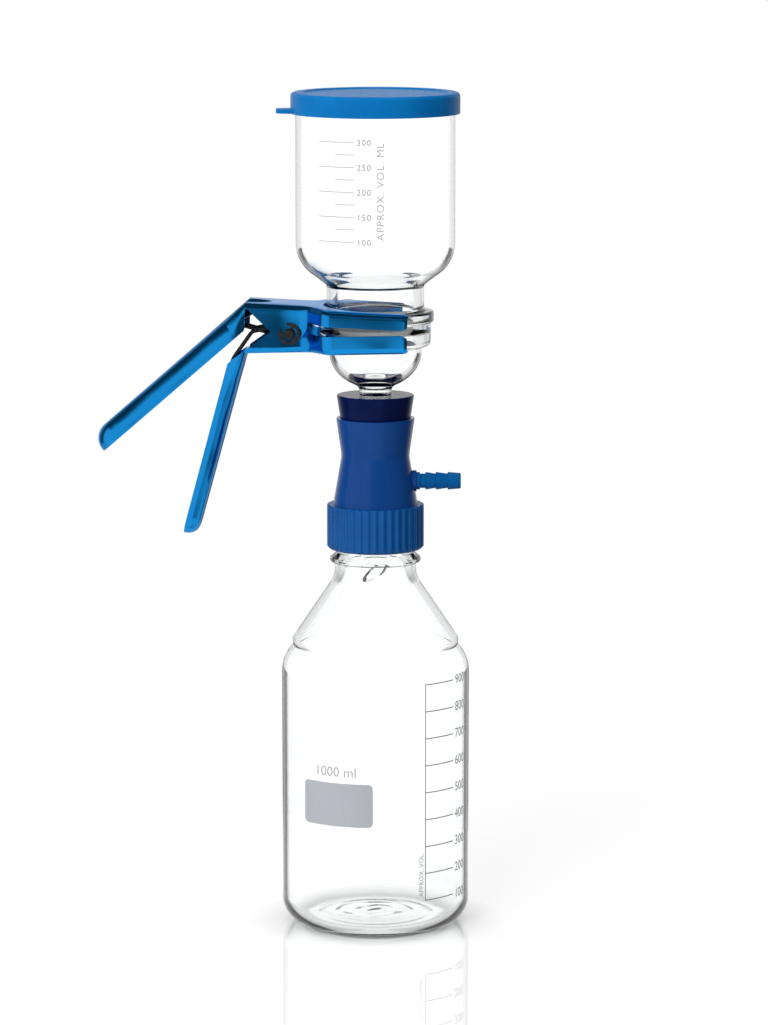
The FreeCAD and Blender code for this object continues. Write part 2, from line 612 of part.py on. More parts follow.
def fork_outline(rear_half, jaw_half, bend, inset, tip):
    """Plan of one half: narrow at the ears, flared to the jaw, and inset by a wall."""
    turn = math.radians(FLARE_ANGLE)
    narrow = rear_half - inset
    wide = jaw_half - inset
    rise = (jaw_half - rear_half) - 2.0 * bend * (1.0 - math.cos(turn))
    run = rise / math.tan(turn)
    bend_x = bend * math.sin(turn)
    first_centre = Vector(FLARE_X, rear_half + bend, 0)
    second_centre = Vector(FLARE_X + 2.0 * bend_x + run, jaw_half - bend, 0)
    outer_turn = 270.0 + FLARE_ANGLE
    side = [
        Vector(REAR_X, narrow, 0),
        arc_about(first_centre, bend + inset, 270, outer_turn, "xy"),
        arc_about(second_centre, bend - inset, 90 + FLARE_ANGLE, 90, "xy"),
    ]
    if tip > TIP_X:
        side.append(Vector(tip, wide, 0))
    else:
        middle = Vector(tip - TIP_CORNER, wide - TIP_CORNER, 0)
        side.append(arc_about(middle, TIP_CORNER, 90, 0, "xy"))
    edges = open_chain(*side)
    mirrored = [edge.mirror(Vector(0, 0, 0), Vector(0, 1, 0)) for edge in edges]
    last = side[-1] if isinstance(side[-1], Vector) else side[-1].valueAt(side[-1].LastParameter)
    closing = [
        line(Vector(REAR_X, narrow, 0), Vector(REAR_X, -narrow, 0)),
        line(last, Vector(last.x, -last.y, 0)),
    ]
    return Part.Wire(Part.sortEdges(edges + mirrored + closing)[0])


def fold_fillet(solid, z, radius):
    """Rounds the long edges between a plate's face at z and its side walls."""
    edges = [edge for edge in solid.Edges
             if abs(edge.BoundBox.ZMax - z) < 1e-6 and abs(edge.BoundBox.ZMin - z) < 1e-6
             and edge.BoundBox.XLength > 1e-3]
    return solid.makeFillet(radius, edges)


def tangent_point(outside, turning):
    """Point where a line from outside touches the ears' round; turning is 1 or -1."""
    gap = outside - PIVOT
    reach = math.acos(EAR_ROUND / gap.Length)
    angle = math.atan2(gap.z, gap.x) + turning * reach
    return PIVOT + point(EAR_ROUND * math.cos(angle), EAR_ROUND * math.sin(angle))


def across(wire):
    """Tool with one side view that reaches past both sides of the clamp."""
    tool = prism(wire, Vector(0, 4.0 * FUNNEL_FLANGE_RADIUS, 0))
    tool.translate(Vector(0, -2.0 * FUNNEL_FLANGE_RADIUS, 0))
    return tool


def side_keep(plate, into, jaw_wall):
    """Side view of one half as a prism: its plate, its ears and the walls of its jaw.

    plate is the height of the plate's outer face, and into is -1 when the walls hang from it
    and 1 when they stand on it.
    """
    outside = plate - into * FOLD_RADIUS
    wall = plate + into * jaw_wall
    rear = point(REAR_X, plate + into * REAR_WALL)
    front = point(PIVOT_X + EAR_REACH, wall)
    rear_touch = tangent_point(rear, -into)
    front_touch = tangent_point(front, into)
    round_middle = PIVOT + (rear_touch + front_touch - PIVOT * 2.0).normalize() * EAR_ROUND
    tip = point(TIP_X + FOLD_RADIUS / 3.0, wall)
    edges = chain(
        point(REAR_X, outside),
        point(tip.x, outside),
        rounded(tip, point(tip.x, outside), front, JAW_TIP_ROUND),
        front,
        Part.Arc(front_touch, round_middle, rear_touch).toShape(),
        rear,
    )
    wire = Part.Wire(Part.sortEdges(edges)[0])
    return across(wire)


def fork_slot(half_width):
    open_end = 2.0 * TIP_X
    outline = Part.Wire([
        arc_about(Vector(0, 0, 0), half_width, 90, 270, "xy"),
        line(Vector(0, -half_width, 0), Vector(open_end, -half_width, 0)),
        line(Vector(open_end, -half_width, 0), Vector(open_end, half_width, 0)),
        line(Vector(open_end, half_width, 0), Vector(0, half_width, 0)),
    ])
    return prism(outline, Vector(0, 0, BOTTLE_HEIGHT * 2.0))


def tub(rear_half, jaw_half, bend, plate, into):
    """Outer and inner solids of a half's plate and walls; the sheet is what lies between."""
    height = 2.0 * (UPPER_JAW_WALL + LOWER_JAW_WALL)
    base = plate if into > 0 else plate - height
    outer = prism(fork_outline(rear_half, jaw_half, bend, 0.0, TIP_X), Vector(0, 0, height))
    outer.translate(Vector(0, 0, base))
    outer = fold_fillet(outer, plate, FOLD_RADIUS)
    inner = prism(fork_outline(rear_half, jaw_half, bend, SHEET, TIP_X + TIP_CORNER),
                  Vector(0, 0, height))
    inner.translate(Vector(0, 0, base + into * SHEET))
    inner = fold_fillet(inner, plate + into * SHEET, FOLD_RADIUS - SHEET)
    return outer, inner


def channel_section(u, half, corner, depth, inset):
    """Section of a handle: flat crown at z = 0, rounded corners and straight sides."""
    side = half - inset
    radius = corner - inset
    top = -inset
    centre_z = top - radius
    left = Vector(u, -side + radius, centre_z)
    right = Vector(u, side - radius, centre_z)
    diagonal = radius * math.sqrt(0.5)
    edges = [
        line(Vector(u, -side, -depth), Vector(u, -side, centre_z)),
        Part.Arc(Vector(u, -side, centre_z), left + Vector(0, -diagonal, diagonal),
                 Vector(u, -side + radius, top)).toShape(),
        line(Vector(u, -side + radius, top), Vector(u, side - radius, top)),
        Part.Arc(Vector(u, side - radius, top), right + Vector(0, diagonal, diagonal),
                 Vector(u, side, centre_z)).toShape(),
        line(Vector(u, side, centre_z), Vector(u, side, -depth)),
        line(Vector(u, side, -depth), Vector(u, -side, -depth)),
    ]
    return Part.Wire(edges)


def handle_form(half, length, depth, corner, inset):
    """Outer or inner solid of a handle along +x: a tapered channel with a closed round end."""
    low = 2.0 * depth if inset else depth
    tip_half = half * HANDLE_TAPER
    tip_u = length - tip_half
    blend_half = half + (tip_half - half) * HANDLE_BLEND / tip_u
    bend = channel_section(0, half, FOLD_RADIUS, low, inset)
    full = channel_section(HANDLE_BLEND, blend_half, corner, low, inset)
    tip = channel_section(tip_u, tip_half, corner, low, inset)
    body = Part.makeLoft([bend, full], True, True).fuse(Part.makeLoft([full, tip], True, True))

    side = tip_half - inset
    radius = corner - inset
    round_end = Part.Face(Part.Wire(Part.sortEdges(chain(
        point(0, -low), point(0, -inset),
        arc_about(point(side - radius, -inset - radius), radius, 90, 0),
        point(side, -low),
    ))[0])).revolve(Vector(0, 0, 0), Vector(0, 0, 1), 180)
    round_end.rotate(Vector(0, 0, 0), Vector(0, 0, 1), -90)
    round_end.translate(Vector(tip_u, 0, 0))
    return body.fuse(round_end)


def handle(half, size, angle, corner_z, outward):
    """Outer and inner solids of a handle at its bend; outward is 1 if it folds towards its ears.

    size holds the handle's length, depth and corner.
    """
    turn = math.radians(angle)
    along = point(-math.cos(turn), -math.sin(turn))
    crown = point(-math.sin(turn), math.cos(turn)) * outward
    rotation = FreeCAD.Rotation(along, crown.cross(along), crown, "XZY")
    placed = []
    for inset in (0.0, SHEET):
        form = handle_form(half, *size, inset)
        form.Placement = FreeCAD.Placement(point(REAR_X, corner_z), rotation)
        placed.append(form)
    return placed, along, crown


def groove(radius, along):
    """Tool for the pressed groove that runs from the plate, across the bend, into the handle."""
    bend = point(REAR_X, UPPER_TOP)
    on_plate = bend + Vector(GROOVE_ON_PLATE, 0, 0)
    on_handle = bend + along * GROOVE_ON_HANDLE
    chord = (on_plate - on_handle).normalize()
    up = point(-chord.z, chord.x)
    start = on_handle - chord * UPPER_HANDLE_LENGTH / 2.0 + up * GROOVE_RADIUS
    return cylinder(radius, 2.0 * UPPER_HANDLE_LENGTH, start, chord)


def pin_hole():
    reach = 2.0 * EAR_HALF_WIDTH
    return cylinder(PIN_RADIUS + PIN_CLEARANCE, 2.0 * reach, PIVOT - Vector(0, reach, 0),
                    Vector(0, 1, 0))


def tilted(shape, tilt):
    shape.rotate(PIVOT, Vector(0, 1, 0), tilt)
    return yawed(shape)


def yawed(shape):
    shape.rotate(Vector(0, 0, 0), Vector(0, 0, 1), CLAMP_YAW)
    return shape


def clamp_upper():
    jaw_half = FUNNEL_FLANGE_RADIUS + JAW_GAP + SHEET
    outer, inner = tub(EAR_HALF_WIDTH, jaw_half, FLARE_BEND, UPPER_TOP, -1)
    pressed_half = EAR_HALF_WIDTH - FOLD_RADIUS
    under = 2.0 * GROOVE_RADIUS
    under_groove = Part.makeBox(GROOVE_ON_PLATE, 2.0 * pressed_half, under,
                                Vector(REAR_X, -pressed_half, UPPER_TOP - under))
    outer = outer.common(side_keep(UPPER_TOP, -1, UPPER_JAW_WALL).fuse(under_groove))
    outer = outer.cut(fork_slot(SLOT_RADIUS))
    (grip, grip_inner), along, _ = handle(
        EAR_HALF_WIDTH - HANDLE_INSET,
        (UPPER_HANDLE_LENGTH, UPPER_HANDLE_DEPTH, UPPER_HANDLE_CORNER),
        UPPER_HANDLE_ANGLE + UPPER_TILT, UPPER_TOP, 1)
    reach = 2.0 * UPPER_HANDLE_LENGTH
    behind = Part.makeBox(reach, reach, 2.0 * reach, Vector(REAR_X - reach, -reach / 2.0,
                                                            UPPER_TOP - reach))
    grip = grip.common(behind)
    grip_inner = grip_inner.common(behind)
    tool = groove(GROOVE_RADIUS, along)
    pressed = groove(GROOVE_RADIUS + SHEET, along)
    skin = outer.fuse(grip).cut(tool)
    core = inner.fuse(grip_inner).cut(pressed)
    return tilted(only_solid(skin.cut(core).cut(pin_hole())), UPPER_TILT)


def clamp_lower():
    jaw_half = BASE_FLANGE_RADIUS + JAW_GAP + SHEET
    outer, inner = tub(LOWER_EAR_HALF_WIDTH, jaw_half, FLARE_BEND + SHEET + EAR_GAP, LOWER_BOTTOM, 1)
    outer = outer.common(side_keep(LOWER_BOTTOM, 1, LOWER_JAW_WALL))
    outer = outer.cut(fork_slot(BULB_RADIUS + BULB_FILLET + SLOT_GAP))
    angle = LOWER_HANDLE_ANGLE - LOWER_TILT
    (grip, grip_inner), along, crown = handle(
        LOWER_EAR_HALF_WIDTH - HANDLE_INSET,
        (LOWER_HANDLE_LENGTH, LOWER_HANDLE_DEPTH, LOWER_HANDLE_CORNER), angle, LOWER_BOTTOM, -1)
    corner = point(REAR_X, LOWER_BOTTOM)
    sweep_start = corner - crown * (SHEET + LIP_START)
    lip_end = corner - crown * LIP_RISE + along * LIP_LENGTH
    lip_middle = (corner - crown * LIP_RISE * LIP_MIDDLE_RISE
                  + along * LIP_LENGTH * LIP_MIDDLE_RUN)
    beyond = 2.0 * LIP_LENGTH
    lip_cut = across(Part.Wire(Part.sortEdges(chain(
        corner - along * beyond,
        sweep_start,
        Part.Arc(sweep_start, lip_middle, lip_end).toShape(),
        lip_end - crown * beyond,
        corner - crown * 2.0 * beyond - along * beyond,
    ))[0]))
    grip = grip.cut(lip_cut)
    half = LOWER_EAR_HALF_WIDTH - HANDLE_INSET - FOLD_RADIUS + BEND_OVERLAP
    plate_side = Vector(BEND_FILLET, -half, 0)
    half_turn = math.radians(angle / 2.0)
    bend = Part.Wire(Part.sortEdges(chain(
        corner + plate_side,
        corner + plate_side + point(0, SHEET),
        corner + Vector(0, -half, SHEET),
        Part.Arc(
            corner + Vector(0, -half, SHEET),
            corner + Vector(-math.sin(half_turn) * SHEET, -half, math.cos(half_turn) * SHEET),
            corner + Vector(0, -half, 0) - crown * SHEET).toShape(),
        corner + Vector(0, -half, 0) - crown * SHEET + along * BEND_FILLET,
        corner + Vector(0, -half, 0) + along * BEND_FILLET,
        corner + plate_side,
    ))[0])
    bend = prism(bend, Vector(0, 2.0 * half, 0))
    sheet = outer.cut(inner).fuse([grip.cut(grip_inner), bend])
    return tilted(only_solid(sheet.cut(pin_hole())), -LOWER_TILT)


def pivot_pin():
    end = EAR_HALF_WIDTH + PIN_STAND_OUT
    groove_start = EAR_HALF_WIDTH + CLIP_SET_BACK
    groove_end = groove_start + CLIP_THICKNESS + 2.0 * CLIP_PLAY
    half = [
        Vector(PIN_RADIUS, groove_start, 0),
        Vector(CLIP_GROOVE_RADIUS, groove_start, 0),
        Vector(CLIP_GROOVE_RADIUS, groove_end, 0),
        Vector(PIN_RADIUS, groove_end, 0),
        Vector(PIN_RADIUS, end - PIN_CHAMFER, 0),
        Vector(PIN_RADIUS - PIN_CHAMFER, end, 0),
        Vector(0, end, 0),
    ]
    other = [Vector(item.x, -item.y, 0) for item in reversed(half)]
    pin = Part.Face(polygon(half + other)).revolve(Vector(0, 0, 0), Vector(0, 1, 0), 360)
    pin.translate(PIVOT)
    return yawed(pin)


def e_clip(side):
    """E-shaped ring in one groove of the pin; side is -1 for the viewer's side, 1 for the far."""
    ring = cylinder(CLIP_RADIUS, CLIP_THICKNESS, Vector(0, 0, 0))
    ring = ring.cut(cylinder(CLIP_RADIUS - CLIP_WIDTH, CLIP_THICKNESS, Vector(0, 0, 0)))
    mouth = Part.makeBox(CLIP_RADIUS * 2, CLIP_GROOVE_RADIUS * 2, CLIP_THICKNESS,
                         Vector(0, -CLIP_GROOVE_RADIUS, 0))
    prongs = []
    start = CLIP_GROOVE_RADIUS - CLIP_WIDTH / 4.0
    for angle, width in CLIP_PRONGS:
        prong = Part.makeBox(CLIP_RADIUS - CLIP_WIDTH / 2.0 - start, width, CLIP_THICKNESS,
                             Vector(start, -width / 2.0, 0))
        prong.rotate(Vector(0, 0, 0), Vector(0, 0, 1), angle)
        prongs.append(prong)
    bore = cylinder(CLIP_GROOVE_RADIUS + CLIP_PLAY / 2.0, CLIP_THICKNESS, Vector(0, 0, 0))
    clip = only_solid(ring.cut(mouth).fuse(prongs).cut(bore))
    clip.rotate(Vector(0, 0, 0), Vector(0, 0, 1), CLIP_TURN)
    clip.rotate(Vector(0, 0, 0), Vector(1, 0, 0), 90)
    offset = EAR_HALF_WIDTH + CLIP_SET_BACK + CLIP_PLAY
    clip.translate(PIVOT + Vector(0, -offset if side < 0 else offset + CLIP_THICKNESS, 0))
    return yawed(clip)


# ---------------------------------------------------------------- torsion spring
COIL_RADIUS = PIN_RADIUS + COIL_GAP + WIRE_RADIUS


def coil_point(turn, y):
    angle = math.radians(turn)
    return Vector(COIL_RADIUS * math.cos(angle), y, COIL_RADIUS * math.sin(angle))


def spring_side():
    """Centre line of one half of the spring, from its middle bridge to its lower end."""
    turns = (LOWER_LEG_TURN - UPPER_LEG_TURN) / 360.0 + COIL_TURNS
    outer_y = COIL_INNER_Y + turns * COIL_PITCH
    upper = math.radians(UPPER_LEG_TURN)
    leave = point(math.sin(upper), -math.cos(upper))
    coil_start = coil_point(UPPER_LEG_TURN, COIL_INNER_Y)
    leg_end = coil_start + leave * UPPER_LEG_LENGTH
    bridge = leg_end + leave * COIL_INNER_Y - Vector(0, COIL_INNER_Y, 0)
    diagonal = math.sqrt(0.5)
    quarter = (leg_end - Vector(0, COIL_INNER_Y, 0)
               + leave * COIL_INNER_Y * diagonal + Vector(0, COIL_INNER_Y * diagonal, 0))
    edges = [Part.Arc(bridge, quarter, leg_end).toShape(), line(leg_end, coil_start)]
    steps = int(round(turns * ARCS_PER_TURN))
    for index in range(steps):
        stations = [(index + part) / steps for part in (0.0, 0.5, 1.0)]
        places = [coil_point(UPPER_LEG_TURN + 360.0 * turns * share,
                             COIL_INNER_Y + (outer_y - COIL_INNER_Y) * share)
                  for share in stations]
        edges.append(Part.Arc(*places).toShape())
    lower = math.radians(LOWER_LEG_TURN)
    coil_end = coil_point(LOWER_LEG_TURN, outer_y)
    side = Vector(0, outer_y, 0)
    bend = coil_end + point(-math.sin(lower), math.cos(lower)) * LOWER_LEG_RUN
    knee = point(KNEE_X, KNEE_Z) + side
    end = point(END_X, END_Z) + side
    first = rounded(bend, coil_end, knee, LOWER_LEG_BEND)
    second = rounded(knee, bend, end, LOWER_LEG_KNEE_BEND)
    edges.extend(open_chain(coil_end, first, second, end))
    return edges


def torsion_spring():
    edges = spring_side()
    other = [edge.mirror(Vector(0, 0, 0), Vector(0, 1, 0)) for edge in edges]
    path = Part.Wire(Part.sortEdges(edges + other)[0])
    first = path.OrderedEdges[0]
    start = path.OrderedVertexes[0].Point
    circle = Part.makeCircle(WIRE_RADIUS, start, first.tangentAt(first.FirstParameter))
    spring = path.makePipeShell([Part.Wire(circle)], True, False)
    spring.translate(PIVOT)
    return yawed(spring)


# ---------------------------------------------------------------- parts
PARTS = {
    "bottle": bottle,
    "rim_gasket": rim_gasket,
    "hose_adapter": adapter,
    "hose_nozzle": hose_nozzle,
    "stopper": stopper,
    "funnel_base": funnel_base,
    "fritted_disc": fritted_disc,
    "funnel": funnel,
    "lid": lid,
    "clamp_upper_jaw": clamp_upper,
    "clamp_lower_jaw": clamp_lower,
    "pivot_pin": pivot_pin,
    "front_e_clip": lambda: e_clip(-1),
    "rear_e_clip": lambda: e_clip(1),
    "torsion_spring": torsion_spring,
}

for name, make in PARTS.items():
    shape = make()
    shape.exportStep("parts/" + name + ".step")
    box = shape.BoundBox
    print("%-16s solids %d valid %s volume %.0f box %.1f %.1f %.1f  %.1f %.1f %.1f" % (
        name, len(shape.Solids), shape.isValid(), shape.Volume,
        box.XMin, box.YMin, box.ZMin, box.XMax, box.YMax, box.ZMax))
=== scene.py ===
"""Looks of the vacuum filtration unit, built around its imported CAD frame.

Lengths below are in millimetres until a mesh is made, and then in metres.  +Z is up, the glass
axis is x = y = 0, the hose nozzle points to +X and the viewer stands on the side of -Y.
"""
import math

import bpy
from mathutils import Matrix, Vector

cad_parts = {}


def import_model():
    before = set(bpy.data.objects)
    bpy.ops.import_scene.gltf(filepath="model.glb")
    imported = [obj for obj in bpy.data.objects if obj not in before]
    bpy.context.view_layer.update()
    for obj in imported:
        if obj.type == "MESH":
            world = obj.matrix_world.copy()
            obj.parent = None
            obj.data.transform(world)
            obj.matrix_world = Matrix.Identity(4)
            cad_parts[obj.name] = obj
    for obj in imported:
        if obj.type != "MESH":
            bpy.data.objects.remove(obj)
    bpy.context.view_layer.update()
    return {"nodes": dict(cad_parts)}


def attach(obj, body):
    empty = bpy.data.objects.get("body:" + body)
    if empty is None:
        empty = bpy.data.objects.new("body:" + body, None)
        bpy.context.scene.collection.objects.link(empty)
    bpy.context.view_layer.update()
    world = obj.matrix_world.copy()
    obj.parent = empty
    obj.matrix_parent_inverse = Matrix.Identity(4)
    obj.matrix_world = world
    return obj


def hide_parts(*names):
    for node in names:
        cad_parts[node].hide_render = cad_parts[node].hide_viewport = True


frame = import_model()
NODES = frame["nodes"]
MM = 0.001

# ---------------------------------------------------------------- shared sizes, in mm
BOTTLE_RADIUS = 50.5
BOTTLE_WALL = 2.3
BOTTLE_TOP = 225.0
BOTTLE_BORE = 15.2
FUNNEL_RADIUS = 42.6
FUNNEL_WALL = 2.8
FUNNEL_TOP = 448.0
FUNNEL_NECK = 26.05
FUNNEL_BORE = 20.6
FUNNEL_FLOOR_Z = 347.6
BOWL_SLOPE = math.radians(37.0)
JOINT_Z = 327.7
STEM_RADIUS = 8.55
STEM_BORE = 5.6
STEM_TIP_RADIUS = 6.8
STEM_TIP_BORE = 4.7
STEM_TAPER_Z = 207.0
STEM_END_Z = 187.2
BULB_DEPTH = 20.5
BULB_RADIUS = 24.8
BULB_INSIDE = 21.8
TUBE_INSIDE = 15.8
SKIRT_TOP = 229.1
SKIRT_BOTTOM = 205.0
NOZZLE_Z = 241.5
PIVOT = Vector((-44.6, 0.0, 322.8))
WIRE_RADIUS = 0.95
CLAMP_YAW = -4.0                    # degrees
EAR_HALF = 17.5                     # half the clamp's width at its ears
FORK_HALF = 32.5                    # and at its fork

GLASS_IOR = 1.474
FLOOR_GLOW = 0.540                  # emission that a viewer, a mirror or glass sees in the floor
FLOOR_MIRROR = 0.40
ONE_WALL = 2.5                      # a ray with fewer transmissions has passed one wall only
PHOTO_HEIGHT_PX = 1025.0
FOCAL_PX = 4550.0


# ---------------------------------------------------------------- node graphs
class Graph:
    """A node tree with short calls: a value that is a socket is linked, any other is set."""

    def __init__(self, tree):
        tree.nodes.clear()
        self.tree = tree

    def add(self, kind, inputs=None, **props):
        node = self.tree.nodes.new(kind)
        for key, value in props.items():
            setattr(node, key, value)
        for key, value in (inputs or {}).items():
            if isinstance(value, bpy.types.NodeSocket):
                self.tree.links.new(value, node.inputs[key])
            else:
                node.inputs[key].default_value = value
        return node

    def math(self, operation, first, *others):
        """Math node, or a chain of them where more than two values are given."""
        for other in others or (0.0,):
            first = self.add("ShaderNodeMath", {0: first, 1: other},
                             operation=operation).outputs[0]
        return first

    def span(self, value, low, high, out_low=0.0, out_high=1.0):
        """Smooth step of a value from low..high to out_low..out_high."""
        return self.add("ShaderNodeMapRange", {
            "Value": value, "From Min": low, "From Max": high, "To Min": out_low,
            "To Max": out_high}, interpolation_type="SMOOTHSTEP").outputs["Result"]

    def place(self, scale=(1.0, 1.0, 1.0), turn=(0.0, 0.0, 0.0)):
        where = self.add("ShaderNodeTexCoord").outputs["Object"]
        return self.add("ShaderNodeMapping", {"Vector": where, "Scale": scale,
                                              "Rotation": turn}).outputs[0]

    def noise(self, scale, detail=3.0, roughness=0.5, stretch=(1.0, 1.0, 1.0), turn=(0, 0, 0)):
        return self.add("ShaderNodeTexNoise", {
            "Vector": self.place(stretch, turn), "Scale": scale, "Detail": detail,
            "Roughness": roughness}).outputs["Fac"]

    def mix(self, factor, first, second):
        node = self.add("ShaderNodeMix", {"Factor": factor}, data_type="RGBA")
        for index, value in ((6, first), (7, second)):
            if isinstance(value, bpy.types.NodeSocket):
                self.tree.links.new(value, node.inputs[index])
            else:
                node.inputs[index].default_value = value
        return node.outputs[2]

    def grey(self, level):
        return self.add("ShaderNodeCombineColor", {0: level, 1: level, 2: level}).outputs[0]

    def seen(self, path):
        """One for rays that a viewer, a mirror or glass sends out, zero for diffuse light."""
        return self.math("MAXIMUM", path.outputs["Is Camera Ray"], path.outputs["Is Glossy Ray"],
                         path.outputs["Is Transmission Ray"])

    def bump(self, height, strength, distance, normal=None):
        inputs = {"Height": height, "Strength": strength, "Distance": distance}
        if normal is not None:
            inputs["Normal"] = normal
        return self.add("ShaderNodeBump", inputs).outputs["Normal"]

    def round_edges(self, radius, samples=6):
        return self.add("ShaderNodeBevel", {"Radius": radius}, samples=samples).outputs["Normal"]

    def surface(self, shader, volume=None):
        out = self.add("ShaderNodeOutputMaterial", {"Surface": shader})
        if volume is not None:
            self.tree.links.new(volume, out.inputs["Volume"])


def rgba(red, green, blue):
    return (red, green, blue, 1.0)


def new_material(name):
    material = bpy.data.materials.new(name)
    material.use_nodes = True
    return material, Graph(material.node_tree)


def principled(graph, **sockets):
    inputs = {key.replace("_", " "): value for key, value in sockets.items()}
    return graph.add("ShaderNodeBsdfPrincipled", inputs).outputs[0]


# ---------------------------------------------------------------- materials
def glass(name, absorb, ripple):
    """Clear glass with faint ripples of its drawing and a grey cast where light runs far in it."""
    material, graph = new_material(name)
    ripples = graph.noise(26.0, 2.0, 0.4, stretch=(1.0, 1.0, 0.35))
    seeds = graph.noise(900.0, 1.0, 0.3)
    normal = graph.bump(ripples, ripple, 0.001)
    rough = graph.span(seeds, 0.35, 0.75, 0.006, 0.014)
    shader = principled(graph, Base_Color=rgba(0.995, 1.0, 0.998), Roughness=rough, IOR=GLASS_IOR,
                        Transmission_Weight=1.0, Normal=normal)
    density = graph.add("ShaderNodeVolumeAbsorption",
                        {"Color": rgba(0.80, 0.88, 0.88), "Density": absorb}).outputs[0]
    graph.surface(shader, density)
    return material


def moulded(name, low, high, roughness, grain_bump, flow=False, edge=0.0003, shine=0.5):
    """Moulded plastic: cloudy colour, a fine skin, soft edges and, if asked, long flow lines."""
    material, graph = new_material(name)
    clouds = graph.noise(45.0, 4.0, 0.6, stretch=(1.0, 1.0, 0.25 if flow else 1.0))
    colour = graph.mix(graph.span(clouds, 0.3, 0.7), low, high)
    skin = graph.noise(2600.0, 3.0, 0.6)
    wear = graph.noise(300.0, 3.0, 0.6)
    normal = graph.bump(skin, grain_bump, 0.00006, graph.round_edges(edge))
    rough = graph.span(wear, 0.25, 0.75, roughness - 0.04, roughness + 0.04)
    graph.surface(principled(graph, Base_Color=colour, Roughness=rough, Normal=normal,
                             Specular_IOR_Level=shine))
    return material


def pressed(graph):
    """Height, in metres, of the sheet's pressed form: crowned plate, dished ears, rolled walls."""
    turned = graph.place(turn=(0.0, 0.0, -math.radians(CLAMP_YAW)))
    x, y, z = graph.add("ShaderNodeSeparateXYZ", {0: turned}).outputs
    rise = graph.math("SUBTRACT", z, PIVOT.z * MM)
    behind = graph.span(x, -0.030, -0.050)
    before_handles = graph.span(x, -0.080, -0.066)
    dish_depth, roll_per_metre, crown_width, crown_depth = 0.0040, -2.8, 0.011, -0.0009
    dish = graph.math("MULTIPLY", graph.span(rise, -0.020, 0.017, 0.5, -0.5), dish_depth,
                      behind, before_handles)
    above = graph.math("MAXIMUM", rise, 0.0)
    roll = graph.math("MULTIPLY", above, above, roll_per_metre,
                      graph.math("SUBTRACT", 1.0, behind))
    half = graph.span(x, -0.022, -0.040, FORK_HALF * MM, EAR_HALF * MM)
    inset = graph.math("SUBTRACT", half, graph.math("ABSOLUTE", y))
    near = graph.math("SUBTRACT", 1.0, graph.math("DIVIDE", inset, crown_width))
    near = graph.math("MULTIPLY", graph.math("MAXIMUM", 0.0, near), before_handles)
    crown = graph.math("MULTIPLY", near, near, crown_depth)
    return graph.math("ADD", dish, roll, crown)


def anodised(name):
    """Blue anodised aluminium sheet: smooth satin with a faint drift of its dye and brushing."""
    material, graph = new_material(name)
    drift = graph.noise(22.0, 3.0, 0.5)
    brushing = graph.noise(900.0, 2.0, 0.5, stretch=(0.03, 1.0, 0.3))
    waves = graph.noise(34.0, 1.0, 0.3)
    colour = graph.mix(graph.span(drift, 0.25, 0.75), rgba(0.009, 0.245, 0.63),
                       rgba(0.012, 0.275, 0.69))
    rough = graph.span(drift, 0.3, 0.75, 0.17, 0.21)
    normal = graph.bump(pressed(graph), 1.0, 1.0)
    normal = graph.bump(brushing, 0.03, 0.00005, graph.bump(waves, 0.35, 0.004, normal))
    graph.surface(principled(graph, Base_Color=colour, Metallic=1.0, Roughness=rough,
                             Specular_Tint=rgba(0.62, 0.76, 0.92), Normal=normal))
    return material


def blackened(name):
    """Oiled black steel."""
    material, graph = new_material(name)
    stain = graph.noise(420.0, 3.0, 0.6)
    colour = graph.mix(graph.span(stain, 0.3, 0.7), rgba(0.010, 0.010, 0.011),
                       rgba(0.035, 0.034, 0.034))
    normal = graph.bump(graph.noise(2200.0, 2.0, 0.5), 0.2, 0.00005, graph.round_edges(0.00025))
    graph.surface(principled(graph, Base_Color=colour, Metallic=0.6, Normal=normal,
                             Roughness=graph.span(stain, 0.3, 0.7, 0.24, 0.42)))
    return material


def silicone(name, low, high, roughness, shine=0.35):
    """Silicone rubber: cloudy colour under a faint skin."""
    material, graph = new_material(name)
    clouds = graph.noise(70.0, 3.0, 0.5)
    colour = graph.mix(graph.span(clouds, 0.3, 0.7), low, high)
    skin = graph.noise(500.0, 3.0, 0.6)
    normal = graph.bump(skin, 0.05, 0.00006, graph.round_edges(0.0004))
    rough = graph.span(skin, 0.3, 0.7, roughness - 0.03, roughness + 0.04)
    graph.surface(principled(graph, Base_Color=colour, Roughness=rough, Normal=normal,
                             Specular_IOR_Level=shine))
    return material


def sintered(name):
    """Sintered glass: a close bed of fused grains, bright and matte."""
    material, graph = new_material(name)
    grains = graph.add("ShaderNodeTexVoronoi", {"Vector": graph.place(), "Scale": 2600.0})
    clouds = graph.noise(160.0, 4.0, 0.6)
    tone = graph.math("MULTIPLY", grains.outputs["Distance"], 0.6)
    tone = graph.math("ADD", tone, clouds)
    colour = graph.mix(graph.span(tone, 0.3, 1.1), rgba(0.80, 0.81, 0.80), rgba(0.62, 0.63, 0.62))
    normal = graph.bump(grains.outputs["Distance"], 0.5, 0.0002)
    graph.surface(principled(graph, Base_Color=colour, Roughness=0.7, Normal=normal,
                             Subsurface_Weight=0.25, Subsurface_Radius=(0.001, 0.001, 0.001)))
    return material


def ground_glass(name):
    """Ground flange face: frosted glass that lets light through and blurs it."""
    material, graph = new_material(name)
    grind = graph.noise(3200.0, 3.0, 0.6)
    rings = graph.noise(240.0, 3.0, 0.6)
    normal = graph.bump(grind, 0.45, 0.00008)
    graph.surface(principled(
        graph, Base_Color=rgba(0.93, 0.95, 0.94), IOR=GLASS_IOR, Transmission_Weight=0.82,
        Roughness=graph.span(rings, 0.3, 0.7, 0.42, 0.6), Normal=normal))
    return material


